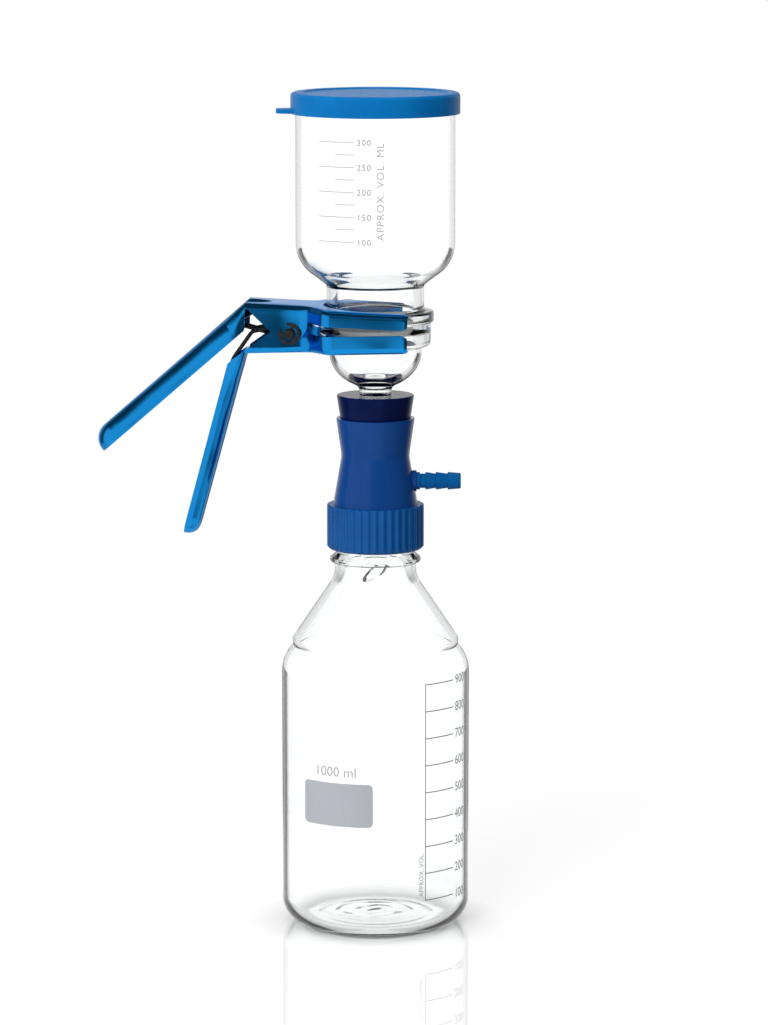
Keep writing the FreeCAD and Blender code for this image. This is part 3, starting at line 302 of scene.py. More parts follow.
def fired_ink(name, low, high):
    """Printed enamel, fired on the glass: slightly uneven, semi-matte."""
    material, graph = new_material(name)
    screen = graph.noise(1800.0, 3.0, 0.7)
    colour = graph.mix(graph.span(screen, 0.3, 0.7), low, high)
    graph.surface(principled(graph, Base_Color=colour, Roughness=0.45,
                             Normal=graph.bump(screen, 0.2, 0.00004)))
    return material


BOTTLE_GLASS = glass("clear_bottle_glass", 14.0, 0.10)
HEAD_GLASS = glass("clear_head_glass", 9.0, 0.07)
GROUND_GLASS = ground_glass("ground_glass")
FRIT = sintered("sintered_glass")
LID_BLUE = moulded("lid_plastic_skin", rgba(0.001, 0.155, 0.460), rgba(0.002, 0.185, 0.520),
                   0.36, 0.15, shine=0.08)
TUBE_BLUE = moulded("adapter_plastic_skin", rgba(0.005, 0.052, 0.235), rgba(0.007, 0.064, 0.272),
                    0.15, 0.05, flow=True, shine=0.12)
SKIRT_BLUE = moulded("skirt_plastic_skin", rgba(0.002, 0.078, 0.290), rgba(0.003, 0.094, 0.340),
                     0.32, 0.15, shine=0.2)
NOZZLE_BLUE = moulded("nozzle_plastic_skin", rgba(0.001, 0.098, 0.325),
                      rgba(0.001, 0.116, 0.370), 0.42, 0.15, shine=0.1)
STOPPER_BLUE = silicone("stopper_silicone", rgba(0.001, 0.005, 0.050), rgba(0.002, 0.008, 0.064),
                        0.18, shine=0.06)
GASKET_WHITE = silicone("gasket_silicone", rgba(0.72, 0.72, 0.70), rgba(0.80, 0.80, 0.78), 0.5)
CLAMP_BLUE = anodised("blue_anodised_sheet")
BLACK_STEEL = blackened("blackened_steel")
INK = fired_ink("fired_ink", rgba(0.26, 0.26, 0.27), rgba(0.33, 0.33, 0.34))
PALE_INK = fired_ink("pale_fired_ink", rgba(0.42, 0.42, 0.43), rgba(0.50, 0.50, 0.51))
PATCH_INK = fired_ink("patch_ink", rgba(0.46, 0.48, 0.52), rgba(0.52, 0.54, 0.58))


# ---------------------------------------------------------------- profiles, in mm
def arc(centre, radius, start, end, count):
    """Points of an arc between two angles, in degrees, counted from the outward direction."""
    points = []
    for index in range(count + 1):
        angle = math.radians(start + (end - start) * index / count)
        points.append((centre[0] + radius * math.cos(angle), centre[1] + radius * math.sin(angle)))
    return points


def run(*corners, count=8):
    """Open run of corners (r, z) or (r, z, rounding), as points."""
    points = []
    for index, corner in enumerate(corners):
        here = Vector(corner[:2])
        if len(corner) < 3 or index in (0, len(corners) - 1):
            points.append(tuple(here))
            continue
        back = (Vector(corners[index - 1][:2]) - here).normalized()
        on = (Vector(corners[index + 1][:2]) - here).normalized()
        half = back.angle(on) / 2.0
        centre = here + (back + on).normalized() * corner[2] / math.sin(half)
        first = here + back * corner[2] / math.tan(half) - centre
        last = here + on * corner[2] / math.tan(half) - centre
        turn = math.atan2(first.x * last.y - first.y * last.x, first.dot(last))
        start = math.atan2(first.y, first.x)
        for step in range(count + 1):
            angle = start + turn * step / count
            points.append((centre.x + corner[2] * math.cos(angle),
                           centre.y + corner[2] * math.sin(angle)))
    return points


def through(first, middle, last, count):
    """Points of the arc through three points."""
    ax, ay = first
    bx, by = middle
    cx, cy = last
    twice = 2.0 * (ax * (by - cy) + bx * (cy - ay) + cx * (ay - by))
    ux = ((ax * ax + ay * ay) * (by - cy) + (bx * bx + by * by) * (cy - ay)
          + (cx * cx + cy * cy) * (ay - by)) / twice
    uy = ((ax * ax + ay * ay) * (cx - bx) + (bx * bx + by * by) * (ax - cx)
          + (cx * cx + cy * cy) * (bx - ax)) / twice
    radius = math.hypot(ax - ux, ay - uy)
    start = math.atan2(ay - uy, ax - ux)
    end = math.atan2(cy - uy, cx - ux)
    turn = (end - start + math.pi) % (2.0 * math.pi) - math.pi
    return [(ux + radius * math.cos(start + turn * step / count),
             uy + radius * math.sin(start + turn * step / count)) for step in range(count + 1)]


def dome(edge_radius, edge_z, rise, count=14):
    """Points of a shallow dome from its edge in to the axis."""
    radius = (edge_radius ** 2 + rise ** 2) / (2.0 * rise)
    points = []
    for step in range(count + 1):
        across = edge_radius * (1.0 - step / count)
        points.append((across, edge_z + rise - radius + math.sqrt(radius ** 2 - across ** 2)))
    return points


def refine(points, longest):
    """Adds points so that no straight stretch is longer than asked, in mm."""
    dense = [points[0]]
    for here, there in zip(points, points[1:]):
        length = math.hypot(there[0] - here[0], there[1] - here[1])
        if length < 1e-5:
            continue
        pieces = max(1, math.ceil(length / longest))
        for step in range(1, pieces + 1):
            share = step / pieces
            dense.append((here[0] + (there[0] - here[0]) * share,
                          here[1] + (there[1] - here[1]) * share))
    return dense


def soften(points, low, high, rounds):
    """Rounds off the creases of a fine run of points between two heights."""
    for _ in range(rounds):
        points = [points[0]] + [
            tuple((a + 2.0 * b + c) / 4.0 for a, b, c in zip(before, here, after))
            if low < here[1] < high else here
            for before, here, after in zip(points, points[1:], points[2:])] + [points[-1]]
    return points


# ---------------------------------------------------------------- meshes
def make_object(name, points, faces, material, sharp=32.0):
    """Object from points in mm, shaded smooth except at edges sharper than asked."""
    mesh = bpy.data.meshes.new(name)
    mesh.from_pydata([(x * MM, y * MM, z * MM) for x, y, z in points], [], faces)
    mesh.validate()
    mesh.materials.append(material)
    piece = bpy.data.objects.new(name, mesh)
    bpy.context.scene.collection.objects.link(piece)
    smooth(piece, sharp)
    return piece


def smooth(piece, sharp):
    """Smooth shading, split at edges sharper than asked, in degrees."""
    mesh = piece.data
    mesh.polygons.foreach_set("use_smooth", [True] * len(mesh.polygons))
    mesh.set_sharp_from_angle(angle=math.radians(sharp))


def lathe(name, profile, material, segments=192, closed=True, place=None, sharp=32.0):
    """Turned piece: profile points (r, z) about +Z.  place(r, z, angle) may shape each point."""
    points = []
    rings = []
    for radius, height in profile:
        if radius < 1e-4:
            rings.append([len(points)])
            points.append((0.0, 0.0, height))
            continue
        ring = []
        for index in range(segments):
            angle = 2.0 * math.pi * index / segments
            r, z = place(radius, height, angle) if place else (radius, height)
            ring.append(len(points))
            points.append((r * math.cos(angle), r * math.sin(angle), z))
        rings.append(ring)
    pairs = list(zip(rings, rings[1:]))
    if closed and len(rings[0]) > 1 and len(rings[-1]) > 1:
        pairs.append((rings[-1], rings[0]))
    faces = []
    for low, high in pairs:
        if len(low) == 1 and len(high) == 1:
            continue
        for index in range(segments):
            after = (index + 1) % segments
            if len(low) == 1:
                faces.append((low[0], high[after], high[index]))
            elif len(high) == 1:
                faces.append((low[index], low[after], high[0]))
            else:
                faces.append((low[index], low[after], high[after], high[index]))
    return make_object(name, points, faces, material, sharp)


def along_x(piece, height):
    """Turns a piece made about +Z so that it runs along +X at one height."""
    piece.data.transform(Matrix.Translation((0, 0, height * MM))
                         @ Matrix.Rotation(math.radians(90.0), 4, "Y"))
    return piece


def tube(name, path, radius, material, sides):
    """Round wire along a path of points in mm, with domed ends."""
    stations = [(Vector(point), radius) for point in path]
    for end, other in ((0, 1), (-1, -2)):
        tip = Vector(path[end])
        out = (tip - Vector(path[other])).normalized()
        caps = [(tip + out * radius * 0.5 * math.sin(math.radians(a)),
                 radius * math.cos(math.radians(a))) for a in (30, 55, 75)]
        stations = caps[::-1] + stations if end == 0 else stations + caps
    points = []
    normal = None
    for index, (place, thick) in enumerate(stations):
        before = stations[max(index - 1, 0)][0]
        after = stations[min(index + 1, len(stations) - 1)][0]
        tangent = (after - before).normalized()
        if normal is None:
            normal = tangent.orthogonal().normalized()
        normal = (normal - tangent * normal.dot(tangent)).normalized()
        side = tangent.cross(normal)
        for step in range(sides):
            angle = 2.0 * math.pi * step / sides
            points.append(tuple(place + (normal * math.cos(angle) + side * math.sin(angle))
                                * thick))
    faces = []
    for index in range(len(stations) - 1):
        for step in range(sides):
            after = (step + 1) % sides
            low, high = index * sides, (index + 1) * sides
            faces.append((low + step, low + after, high + after, high + step))
    faces.append(tuple(reversed(range(sides))))
    faces.append(tuple(range(len(points) - sides, len(points))))
    return make_object(name, points, faces, material, 60.0)


def wrapped(radius, degrees, height):
    """Point on an upright cylinder; degrees run from the front towards +X."""
    turn = math.radians(degrees)
    return radius * math.sin(turn), -radius * math.cos(turn), height


class Print:
    """Thin raised marks on a glass cylinder, gathered in one mesh."""

    def __init__(self, radius):
        self.radius = radius + 0.03
        self.points = []
        self.faces = []

    def band(self, start, end, low, high, corner=0.0):
        """Closed strip from one angle to another, in degrees, between two heights."""
        count = max(2, math.ceil(abs(end - start) * 1.5))
        base = len(self.points)
        width = self.radius * math.radians(end - start)
        for index in range(count + 1):
            share = 0.5 - 0.5 * math.cos(math.pi * index / count) if corner else index / count
            across = width * share
            pull = 0.0
            edge = min(across, width - across)
            if corner and edge < corner:
                pull = corner - math.sqrt(max(0.0, corner ** 2 - (corner - edge) ** 2))
            angle = start + (end - start) * share
            for lift in (0.0, 0.05):
                for height in (low + pull, high - pull):
                    self.points.append(wrapped(self.radius + lift, angle, height))
        for index in range(count):
            a = base + index * 4
            b = a + 4
            self.faces += [(a, a + 1, b + 1, b), (a + 2, b + 2, b + 3, a + 3),
                           (a, b, b + 2, a + 2), (a + 1, a + 3, b + 3, b + 1)]
        last = base + count * 4
        self.faces += [(base, base + 2, base + 3, base + 1),
                       (last, last + 1, last + 3, last + 2)]

    def words(self, text, size, start, height, upright=False, bold=0.0, spacing=1.0):
        """Lettering that starts at an angle; upright text runs up the cylinder."""
        curve = bpy.data.curves.new("lettering", "FONT")
        curve.body = text
        curve.size = size
        curve.extrude = 0.025
        curve.offset = bold
        curve.resolution_u = 3
        curve.space_character = spacing
        holder = bpy.data.objects.new("lettering", curve)
        bpy.context.scene.collection.objects.link(holder)
        bpy.context.view_layer.update()
        mesh = holder.evaluated_get(bpy.context.evaluated_depsgraph_get()).to_mesh()
        base = len(self.points)
        for vertex in mesh.vertices:
            x, y, lift = vertex.co
            if upright:
                x, y = -y, x
            angle = start + math.degrees(x / self.radius)
            self.points.append(wrapped(self.radius + 0.03 + lift, angle, height + y))
        for polygon in mesh.polygons:
            self.faces.append(tuple(base + index for index in polygon.vertices))
        holder.to_mesh_clear()
        bpy.data.objects.remove(holder)
        bpy.data.curves.remove(curve)

    def finish(self, name, material):
        return make_object(name, self.points, self.faces, material, 20.0)


# ---------------------------------------------------------------- bottle
def bottle():
    """Body with a drawn-in shoulder, cone and beaded finish, and the thread on its neck."""
    base, dome_radius, dome_rise = 3.6, 31.5, 3.5
    foot, top = Vector((44.0, 157.1)), Vector((21.8, 190.4))
    slope = (foot - top).normalized()
    inner_foot = foot + Vector((slope.y, -slope.x)) * 3.9
    inner_top = inner_foot - slope * (inner_foot.x - BOTTLE_BORE) / slope.x
    pull, rise = BOTTLE_RADIUS - foot.x, 14.9
    bend = (rise ** 2 + pull ** 2) / (2.0 * pull)
    sweep = math.degrees(math.asin(rise / bend))
    middle = (BOTTLE_RADIUS - bend, 138.0)
    heel_round = 13.0
    heel = BOTTLE_RADIUS - heel_round
    inner_shoulder = arc(middle, bend - BOTTLE_WALL, sweep, 0, 24)

    outer = refine(dome(dome_radius, 0.0, dome_rise)[::-1] + [(heel, 0.0)], 0.8)
    outer += arc((heel, heel_round), heel_round, 270, 360, 24)[1:]
    outer += arc(middle, bend, 0, sweep, 24)
    outer += through((foot.x, 152.9), (foot.x + 0.8, 155.0), tuple(foot), 10)[1:]
    outer += run(tuple(foot), tuple(top) + (16.0,), (21.8, 197.9), (24.4, 197.9, 1.1),
                 (24.4, 200.2, 1.1), (21.0, 202.9), (21.0, BOTTLE_TOP, 1.2),
                 (BOTTLE_BORE, BOTTLE_TOP, 1.2), tuple(inner_top) + (24.0,),
                 tuple(inner_foot) + (4.0,), inner_shoulder[0], count=12)[1:]
    outer += inner_shoulder[1:]
    inner_heel = heel_round - BOTTLE_WALL
    outer += arc((heel, base + inner_heel), inner_heel, 360, 270, 24)
    outer += refine(dome(dome_radius, base, dome_rise), 0.8)
    outer = soften(refine(outer, 1.4), 149.0, 161.0, 3)

    outermost, inside_above = 37.0, 3.55

    def base_rings(radius, height, angle):
        """Rings left in the pushed-up base by its mould, uneven round the base."""
        if height > 9.0 or radius > outermost:
            return radius, height
        inside = height > inside_above
        fade = min(1.0, (outermost - radius) / 5.0, radius / 3.0)
        swirl = 1.3 * math.sin(angle + 0.4) + 0.7 * math.sin(2.0 * angle + 1.9 + radius * 0.15)
        phase = radius * (0.62 if inside else 0.45) + swirl
        deep = 0.14 + 0.07 * math.sin(angle - 0.9) if inside else 0.06
        return radius, height + deep * fade * math.sin(phase)

    piece = lathe("bottle_glass_body", outer, BOTTLE_GLASS, 160, closed=False, place=base_rings)
    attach(piece, "bottle")
    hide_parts("bottle")

    pitch, start, turns, steps = 4.0, 208.5, 2.6, 190
    path = []
    for index in range(steps + 1):
        share = index / steps
        angle = 2.0 * math.pi * turns * share
        fade = min(1.0, share * 12.0, (1.0 - share) * 12.0)
        radius = 20.1 + 1.15 * fade
        path.append((radius * math.cos(angle), radius * math.sin(angle),
                     start + pitch * turns * share))
    thread = tube("bottle_thread", path, 1.15, BOTTLE_GLASS, 14)
    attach(thread, "bottle")


def bottle_print():
    """Scale, lettering and write-on patch."""
    marks, words = Print(BOTTLE_RADIUS), Print(BOTTLE_RADIUS)
    left, right = 32.0, 55.5
    lowest, step = 20.5, 14.7
    line_half = 0.28
    highest = lowest + step * 8
    marks.band(left - 0.3, left + 0.3, lowest - line_half, highest + line_half)
    for index in range(9):
        height = lowest + step * index
        marks.band(left, right, height - line_half, height + line_half)
        words.words(str(100 * (index + 1)), 7.2, right + 2.0, height - 2.4)
    words.words("1000 ml", 7.6, -39.5, 88.9, bold=0.02)
    words.words("APPROX. VOL.", 3.75, left - 1.4, 22.6, upright=True)
    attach(marks.finish("bottle_scale", INK), "bottle")
    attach(words.finish("bottle_lettering", PALE_INK), "bottle")
    patch = Print(BOTTLE_RADIUS)
    patch.band(-48.2, -1.5, 61.8, 85.3, corner=2.6)
    patch = patch.finish("write_on_patch", PATCH_INK)
    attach(patch, "bottle")


# ---------------------------------------------------------------- adapter, nozzle, stopper
def adapter():
    """Waisted tube with a flared mouth, the nozzle's boss and the ribbed skirt."""
    tube_profile = refine(run(
        (16.4, 226.8), (21.9, 226.8), (22.9, SKIRT_TOP - 0.6), (22.7, SKIRT_TOP + 0.1),
        (18.15, 255.6, 14.0), (21.05, 275.8, 0.35), (18.86, 275.8, 0.35), (16.1, 258.3),
        (TUBE_INSIDE, 257.0), (TUBE_INSIDE, 252.6), (19.0, 234.8), (16.4, 229.0)), 1.6)
    shell = lathe("adapter_tube", tube_profile, TUBE_BLUE, 192)
    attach(shell, "head")
    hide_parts("hose_adapter")

    boss = refine(run((3.3, 16.9), (5.7, 16.9), (5.7, 22.2, 0.5), (3.3, 22.2)), 0.8)
    boss = along_x(lathe("nozzle_boss", boss, TUBE_BLUE, 64), NOZZLE_Z)
    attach(boss, "head")

    ribs, per_rib = 38, 16
    core, crest, bottom, rib = 25.35, 26.1, SKIRT_BOTTOM, 1.55

    def ribbed(radius, height, angle):
        """Draws the skirt's outside in between its rounded ribs."""
        if radius < core - 0.01:
            return radius, height
        turn = ((angle * ribs / (2.0 * math.pi)) % 1.0 - 0.5) * 2.0 * math.pi / ribs
        inside = rib ** 2 - ((crest - rib) * math.sin(turn)) ** 2
        reach = (crest - rib) * math.cos(turn) + math.sqrt(max(0.0, inside))
        share = (radius - core) / (crest - core)
        return core + share * max(0.0, reach - core), height

    skirt_profile = [(22.85, bottom), (24.3, bottom), (24.8, bottom + 0.25), (25.2, bottom + 0.65),
                     (core, bottom + 0.95), (core + 0.4, bottom + 1.1), (crest, bottom + 1.5)]
    skirt_profile += refine([(crest, bottom + 1.5), (crest, SKIRT_TOP - 0.5)], 3.0)[1:]
    skirt_profile += [(crest - 0.25, SKIRT_TOP - 0.1), (core, SKIRT_TOP), (24.4, SKIRT_TOP),
                      (21.5, SKIRT_TOP), (21.5, 226.9), (22.85, 226.9)]
    skirt = lathe("adapter_skirt", skirt_profile, SKIRT_BLUE, ribs * per_rib, place=ribbed,
                  sharp=50.0)
    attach(skirt, "head")


def dress(node, material):
    """Gives a CAD node its finish."""
    piece = NODES[node]
    piece.data.materials.clear()
    piece.data.materials.append(material)
    smooth(piece, 30.0)


# ---------------------------------------------------------------- filter base and funnel
def grind(piece):
    """Gives the flat face of a flange, at the joint, its ground finish."""
    piece.data.materials.append(GROUND_GLASS)
    for face in piece.data.polygons:
        if abs(face.center.z - JOINT_Z * MM) < 0.00002:
            face.material_index = 1


def stem_cut(radius, height, angle):
    """Slides the stem's lower end up to its bevelled cut."""
    top, end = STEM_TAPER_Z, STEM_END_Z
    if height > top - 0.01 or radius > 9.0:
        return radius, height
    outer = radius > 6.0
    tip_radius, top_radius = ((STEM_TIP_RADIUS, STEM_RADIUS) if outer
                              else (STEM_TIP_BORE, STEM_BORE))
    taper = (top_radius - tip_radius) / (top - end)
    bevel, turned = math.radians(42.0), math.radians(40.0)
    rise = math.tan(bevel)
    lean = math.cos(angle + turned) * rise
    cut = (end + STEM_TIP_RADIUS * rise + (tip_radius - taper * end) * lean) / (1.0 - taper * lean)
    height = top - (top - height) * (top - cut) / (top - end)
    return tip_radius + taper * (height - end), height


def bulb(radius, depth, centre_z, stem, blend, count=36):
    """Bulb from its equator down to the rounding at the stem: points, and that corner."""
    edge = stem + blend
    last = math.acos(edge / radius)
    points = [(radius * math.cos(last * step / count),
               centre_z - depth * math.sin(last * step / count)) for step in range(count + 1)]
    slope = math.atan(depth * edge / (radius ** 2 * math.sin(last)))
    rounding = blend / math.cos(slope) * math.tan(math.pi / 4.0 + slope / 2.0)
    return points, (stem, points[-1][1] - blend * math.tan(slope), rounding)


def funnel_base():
    """Flange, bulb and tapered stem in one glass wall."""
    flange_bottom, flange_radius, seat_radius = JOINT_Z - 12.9, 29.65, 20.0
    centre_z = 291.6 + BULB_DEPTH
    outside, foot = bulb(BULB_RADIUS, BULB_DEPTH, centre_z, STEM_RADIUS, 2.4)
    inside, inner_foot = bulb(BULB_INSIDE, 16.7, centre_z, STEM_BORE, 1.6)
    outer = run((seat_radius, JOINT_Z), (flange_radius, JOINT_Z, 0.5),
                (flange_radius, flange_bottom, 2.8), (BULB_RADIUS, flange_bottom, 1.0),
                outside[0])
    outer += outside[1:]
    outer += run(outside[-1], foot, (STEM_RADIUS, STEM_TAPER_Z), (STEM_TIP_RADIUS, STEM_END_Z),
                 (STEM_TIP_BORE, STEM_END_Z), (STEM_BORE, STEM_TAPER_Z), inner_foot,
                 inside[-1])[1:]
    outer += inside[-2::-1]
    outer += run((BULB_INSIDE, 321.3), (seat_radius, 324.3))
    piece = lathe("base_glass", refine(outer, 2.0)[::-1], HEAD_GLASS, 160, place=stem_cut)
    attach(piece, "head")
    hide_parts("funnel_base")
    grind(piece)


def bowl_corners(radius, curve, neck, floor_z):
    """Corners of one side of the bowl, at its wall's foot and at its neck."""
    corner_z = floor_z + (radius - neck) * math.tan(BOWL_SLOPE)
    return (radius, corner_z, curve), (neck, floor_z, 2.0)


def funnel():
    """Flange, neck and bowl in one glass wall."""
    inside = FUNNEL_RADIUS - FUNNEL_WALL
    flange_radius, flange_top = 31.25, JOINT_Z + 6.1
    inner_floor_z = (FUNNEL_FLOOR_Z + FUNNEL_WALL / math.cos(BOWL_SLOPE)
                     - (FUNNEL_NECK - FUNNEL_BORE) * math.tan(BOWL_SLOPE))
    corner, foot = bowl_corners(FUNNEL_RADIUS, 20.0, FUNNEL_NECK, FUNNEL_FLOOR_Z)
    inner_corner, inner_foot = bowl_corners(inside, 17.2, FUNNEL_BORE, inner_floor_z)
    outline = run((FUNNEL_BORE, JOINT_Z), (flange_radius, JOINT_Z, 1.4),
                  (flange_radius, flange_top, 1.4), (FUNNEL_NECK, flange_top, 2.0), foot,
                  corner, (FUNNEL_RADIUS, FUNNEL_TOP, 0.9), (inside, FUNNEL_TOP, 0.9),
                  inner_corner, inner_foot, (FUNNEL_BORE, JOINT_Z + 0.1), count=16)
    piece = lathe("funnel_glass_body", refine(outline, 2.5), HEAD_GLASS, 208)
    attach(piece, "head")
    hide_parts("funnel")
    grind(piece)


def funnel_print():
    """Scale and lettering."""
    marks = Print(FUNNEL_RADIUS)
    highest, step, line_half = 426.4, 13.08, 0.22
    for index in range(5):
        height = highest - step * index
        marks.band(-44.0, -15.0, height - line_half, height + line_half)
        marks.words(str(300 - 50 * index), 4.55, -13.2, height - 1.6, bold=0.08, spacing=1.18)
        if index < 4:
            middle = height - step / 2.0
            marks.band(-29.5, -15.0, middle - line_half, middle + line_half)
    marks.words("APPROX. VOL. ML", 5.6, 6.2, 375.0, upright=True, spacing=1.16)
    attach(marks.finish("funnel_scale", PALE_INK), "head")


# ---------------------------------------------------------------- spring
def coil_point(turn, across):
    """Point of the coil at an angle about the pin, so far across from the middle."""
    radius = 4.3
    angle = math.radians(turn)
    return Vector((radius * math.cos(angle), across, radius * math.sin(angle)))


def clamp_frame(path):
    """Carries a path from the pivot's own frame into the unit's frame."""
    yaw = Matrix.Rotation(math.radians(CLAMP_YAW), 3, "Z")
    return [tuple(yaw @ (Vector(point) + PIVOT)) for point in path]


def spring():
    """Double torsion spring: its looped upper legs, and a coil and lower leg on each side."""
    upper_turn, lower_turn, inner_y, pitch = -105.0, 102.0, 4.2, 2.2
    turns = (lower_turn - upper_turn) / 360.0 + 2
    outer_y = inner_y + turns * pitch
    upper = math.radians(upper_turn)
    leave = Vector((math.sin(upper), 0, -math.cos(upper)))
    start = coil_point(upper_turn, inner_y)
    leg_end = start + leave * 23.6

    def coil(first, last, count):
        shares = (first + (last - first) * step / count for step in range(count + 1))
        return [coil_point(upper_turn + 360.0 * turns * share,
                           inner_y + (outer_y - inner_y) * share) for share in shares]

    half = [leg_end + leave * inner_y * math.sin(math.radians(angle))
            - Vector((0, inner_y * (1.0 - math.cos(math.radians(angle))), 0))
            for angle in range(90, -1, -9)]
    half += [leg_end + (start - leg_end) * step / 10 for step in range(1, 11)]
    half += coil(0.0, 0.04, 6)[1:]
    path = [Vector((point.x, -point.y, point.z)) for point in half[:0:-1]] + half
    legs = tube("spring_upper_legs", clamp_frame(path), WIRE_RADIUS, BLACK_STEEL, 18)
    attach(legs, "upper_jaw")

    lower = math.radians(lower_turn)
    coil_end = coil_point(lower_turn, outer_y)
    corner = coil_end + Vector((-math.sin(lower), 0, math.cos(lower))) * 20.5
    bends = run((coil_end.x, coil_end.z), (corner.x, corner.z, 5.0), (-31.5, -15.0, 14.0),
                (-35.8, -40.9))
    leg = [Vector((x, outer_y, z)) for x, z in refine(bends, 2.0)]
    for side in (1.0, -1.0):
        path = [Vector((p.x, p.y * side, p.z)) for p in coil(0.0, 1.0, 110) + leg[1:]]
        name = "spring_coil_rear" if side > 0 else "spring_coil_front"
        piece = tube(name, clamp_frame(path), WIRE_RADIUS, BLACK_STEEL, 18)
        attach(piece, "head")
        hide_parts("torsion_spring")


# ---------------------------------------------------------------- stage
def world():
    """Studio, as a pattern fixed in the world, that each kind of ray sees in its own way.

    A viewer sees white.  Mirrors see a white wall behind with a grey card in its middle, a soft
    light at the left, a dark room in front and a pale table and ground below.  Glass sees bands
    that darken its edges from the front where a ray passes one wall, and near white where it
    passes more.  Diffuse light comes softly from the left.
    """
    scene_world = bpy.data.worlds.new("studio")
    bpy.context.scene.world = scene_world
    scene_world.use_nodes = True
    graph = Graph(scene_world.node_tree)
    path = graph.add("ShaderNodeLightPath")
    way = graph.add("ShaderNodeSeparateXYZ",
                    {0: graph.add("ShaderNodeTexCoord").outputs["Generated"]})
    side, back, up = way.outputs
    wide = graph.math("ABSOLUTE", side)
    low = graph.span(up, -0.135, -0.155)
    in_front = graph.span(back, 0.2, -0.4)

    light_left = graph.math("MULTIPLY", graph.span(side, -0.10, -0.44),
                            graph.span(back, 0.25, -0.05))
    front_high = graph.math("MULTIPLY", graph.span(up, 0.34, 0.48), in_front, 0.55)
    table = graph.math("MULTIPLY", graph.span(up, -0.02, -0.12), graph.span(side, 0.66, 0.26),
                       in_front, 1.05)
    ground = graph.math("MULTIPLY", graph.span(up, -0.30, -0.50), 0.80)
    off_middle = graph.math("DIVIDE", wide, graph.math("MAXIMUM", back, 0.02))
    card = graph.math("MULTIPLY", graph.span(off_middle, 0.05, 0.10), 0.25)
    card = graph.math("MULTIPLY", graph.math("MAXIMUM", card, graph.math("MULTIPLY", low, 0.92)),
                      graph.span(off_middle, 0.40, 0.20))
    wall_behind = graph.math("MULTIPLY", graph.span(back, 0.35, 0.95),
                             graph.math("SUBTRACT", 1.0, card),
                             graph.span(up, 0.12, 0.34, 1.0, 0.60))
    bright = graph.math("MAXIMUM", light_left, front_high, ground, table, wall_behind)
    dark_ceiling = graph.span(up, 0.42, 0.60)
    bright = graph.math("MULTIPLY", bright, graph.math("SUBTRACT", 1.0, dark_ceiling))
    mirrored = graph.math("ADD", graph.math("MULTIPLY", bright, 0.90), 0.07)
    # Only the floor is a perfect mirror, and it shows the white surroundings of the object.
    from_floor = graph.math("MULTIPLY", path.outputs["Is Singular Ray"],
                            graph.span(up, 0.0, 0.04), 0.97)
    mirrored = graph.math("MAXIMUM", mirrored, from_floor)

    head_edge = graph.math("MAXIMUM", graph.span(wide, 0.04, 0.10, 0.90, 0.0),
                           graph.span(wide, 0.10, 0.60, 0.66, 0.92))
    bottle_edge = graph.math("MAXIMUM", graph.span(wide, 0.03, 0.08, 0.72, 0.0),
                             graph.span(wide, 0.58, 0.66, 0.0, 0.85),
                             graph.span(wide, 0.04, 0.30, 0.40, 0.05))
    towards_bottle = graph.math("MULTIPLY", low, graph.span(up, -0.50, -0.30))
    edge = graph.mix(towards_bottle, graph.grey(head_edge), graph.grey(bottle_edge))
    one_wall = graph.math("MULTIPLY", edge, graph.span(up, 0.30, 0.60, 1.0, 0.45))
    from_front = graph.span(back, 0.45, 0.70)
    one_wall = graph.mix(from_front, graph.grey(0.86), graph.grey(one_wall))
    more_walls = graph.math("MULTIPLY", graph.span(up, 0.45, 0.85, 1.15, 0.70),
                            graph.span(wide, 0.35, 0.85, 1.0, 0.90))
    is_one_wall = graph.math("LESS_THAN", path.outputs["Transmission Depth"], ONE_WALL)
    seen_through = graph.mix(is_one_wall, graph.grey(more_walls), one_wall)

    shown = graph.mix(path.outputs["Is Transmission Ray"], graph.grey(mirrored), seen_through)
    shown = graph.mix(path.outputs["Is Camera Ray"], shown, rgba(1.0, 1.0, 1.0))
    soft = graph.span(side, -0.7, 0.8, 0.72, 0.20)
    colour = graph.mix(graph.seen(path), graph.grey(soft), shown)
    background = graph.add("ShaderNodeBackground", {"Color": colour, "Strength": 1.0})
    graph.add("ShaderNodeOutputWorld", {"Surface": background.outputs[0]})


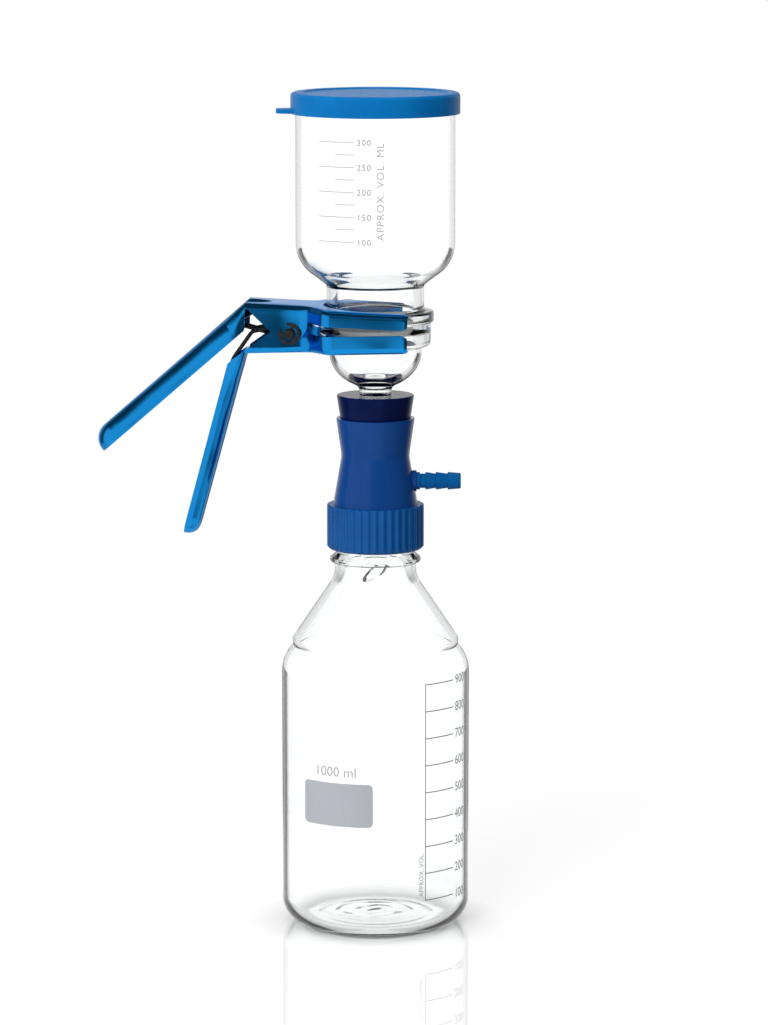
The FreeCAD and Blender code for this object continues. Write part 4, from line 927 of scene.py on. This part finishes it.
def floor_finish():
    """Pale polished floor: it takes shadows, has a painted contact shadow beside the bottle, glows
    for rays that look, glows brighter (painted light) where seen through glass, and fades out far
    off.
    """
    material, graph = new_material("pale_floor")
    path = graph.add("ShaderNodeLightPath")
    where = graph.add("ShaderNodeTexCoord").outputs["Object"]
    distance = graph.add("ShaderNodeVectorMath", {0: where}, operation="LENGTH").outputs["Value"]
    grain = graph.noise(60.0, 3.0, 0.5)
    matte = graph.add("ShaderNodeBsdfDiffuse", {
        "Color": graph.mix(grain, rgba(0.60, 0.60, 0.60), rgba(0.62, 0.62, 0.62))}).outputs[0]

    # Ambient occlusion dims the glow beside the bottle: a painted contact shadow.
    open_air = graph.add("ShaderNodeAmbientOcclusion", {"Distance": 0.022},
                         samples=8).outputs["AO"]
    beside_bottle = graph.span(distance, 0.036, 0.040)
    shade = graph.math("ADD", graph.math("MULTIPLY", beside_bottle, open_air),
                       graph.math("SUBTRACT", 1.0, beside_bottle))
    # Painted light: the floor glows 30% brighter where a ray has passed more than one glass wall.
    more_walls = graph.math("GREATER_THAN", path.outputs["Transmission Depth"], ONE_WALL)
    painted_glow_behind_glass = graph.math("ADD", graph.math("MULTIPLY", more_walls, 0.30), 1.0)
    glow = graph.math("MULTIPLY", graph.seen(path), FLOOR_GLOW, shade, painted_glow_behind_glass)
    glow = graph.add("ShaderNodeEmission", {"Color": rgba(1.0, 1.0, 1.0),
                                            "Strength": glow}).outputs[0]
    lit = graph.add("ShaderNodeAddShader", {0: matte, 1: glow}).outputs[0]
    mirror = graph.add("ShaderNodeBsdfGlossy", {
        "Color": rgba(1.0, 1.0, 1.0), "Roughness": 0.0}).outputs[0]
    polished = graph.add("ShaderNodeMixShader", {0: FLOOR_MIRROR, 1: lit, 2: mirror}).outputs[0]

    clear = graph.add("ShaderNodeBsdfTransparent").outputs[0]
    far_off = graph.span(distance, 0.30, 0.62)
    to_mirrors = graph.math("MULTIPLY", path.outputs["Is Glossy Ray"],
                            graph.span(distance, 0.16, 0.34))
    is_one_wall = graph.math("LESS_THAN", path.outputs["Transmission Depth"], ONE_WALL)
    to_one_wall = graph.math("MULTIPLY", path.outputs["Is Transmission Ray"], is_one_wall)
    gone = graph.math("MAXIMUM", far_off, to_mirrors, to_one_wall)
    graph.surface(graph.add("ShaderNodeMixShader", {0: gone, 1: polished, 2: clear}).outputs[0])
    return material


def floor():
    """Disc, just below the bottle's foot so that the two don't share a plane."""
    rings, segments, outer_radius, drop = 10, 96, 640.0, 0.00004
    points = [(0.0, 0.0, 0.0)]
    faces = []
    for ring in range(rings):
        radius = outer_radius * (ring + 1) / rings
        for index in range(segments):
            angle = 2.0 * math.pi * index / segments
            points.append((radius * math.cos(angle), radius * math.sin(angle), 0.0))
    for index in range(segments):
        faces.append((0, 1 + index, 1 + (index + 1) % segments))
    for ring in range(rings - 1):
        low, high = 1 + ring * segments, 1 + (ring + 1) * segments
        for index in range(segments):
            after = (index + 1) % segments
            faces.append((low + index, high + index, high + after, low + after))
    plane = make_object("floor", points, faces, floor_finish())
    plane.location.z = -drop


def lamp(name, place, size, power):
    """Soft rectangular lamp, in metres and watts, aimed at the middle of the object."""
    aim = Vector((0.0, 0.0, 0.25))
    light = bpy.data.lights.new(name, "AREA")
    light.shape = "RECTANGLE"
    light.size, light.size_y = size
    light.energy = power
    holder = bpy.data.objects.new(name, light)
    holder.location = place
    holder.rotation_euler = (aim - Vector(place)).to_track_quat("-Z", "Y").to_euler()
    holder.visible_glossy = False
    holder.visible_transmission = False
    bpy.context.scene.collection.objects.link(holder)


def camera():
    """Camera at the photo's angle, a compromise of the views that the photo is joined from."""
    elevation, distance, centre = math.radians(9.0), 2.45, Vector((0.0046, 0.0, 0.2242))
    data = bpy.data.cameras.new("camera")
    data.sensor_width = 36.0
    data.lens = data.sensor_width * FOCAL_PX / PHOTO_HEIGHT_PX
    data.clip_end = 60.0
    holder = bpy.data.objects.new("camera", data)
    holder.location = centre + Vector((0, -math.cos(elevation), math.sin(elevation))) * distance
    holder.rotation_euler = (math.pi / 2.0 - elevation, 0.0, 0.0)
    bpy.context.scene.collection.objects.link(holder)
    bpy.context.scene.camera = holder


bottle()
bottle_print()
adapter()
funnel_base()
funnel()
funnel_print()
spring()
for node, finish in {
        "rim_gasket": GASKET_WHITE, "hose_nozzle": NOZZLE_BLUE, "stopper": STOPPER_BLUE,
        "fritted_disc": FRIT, "lid": LID_BLUE, "clamp_upper_jaw": CLAMP_BLUE,
        "clamp_lower_jaw": CLAMP_BLUE, "pivot_pin": BLACK_STEEL, "front_e_clip": BLACK_STEEL,
        "rear_e_clip": BLACK_STEEL}.items():
    dress(node, finish)
world()
floor()
lamp("key", (-0.9, -1.95, 1.1), (1.1, 1.1), 28.0)
lamp("fill", (1.6, -1.5, 0.9), (1.0, 1.2), 2.0)
lamp("top", (0.1, 0.2, 2.1), (1.4, 0.9), 10.0)
camera()
bpy.context.scene.view_settings.view_transform = "Standard"
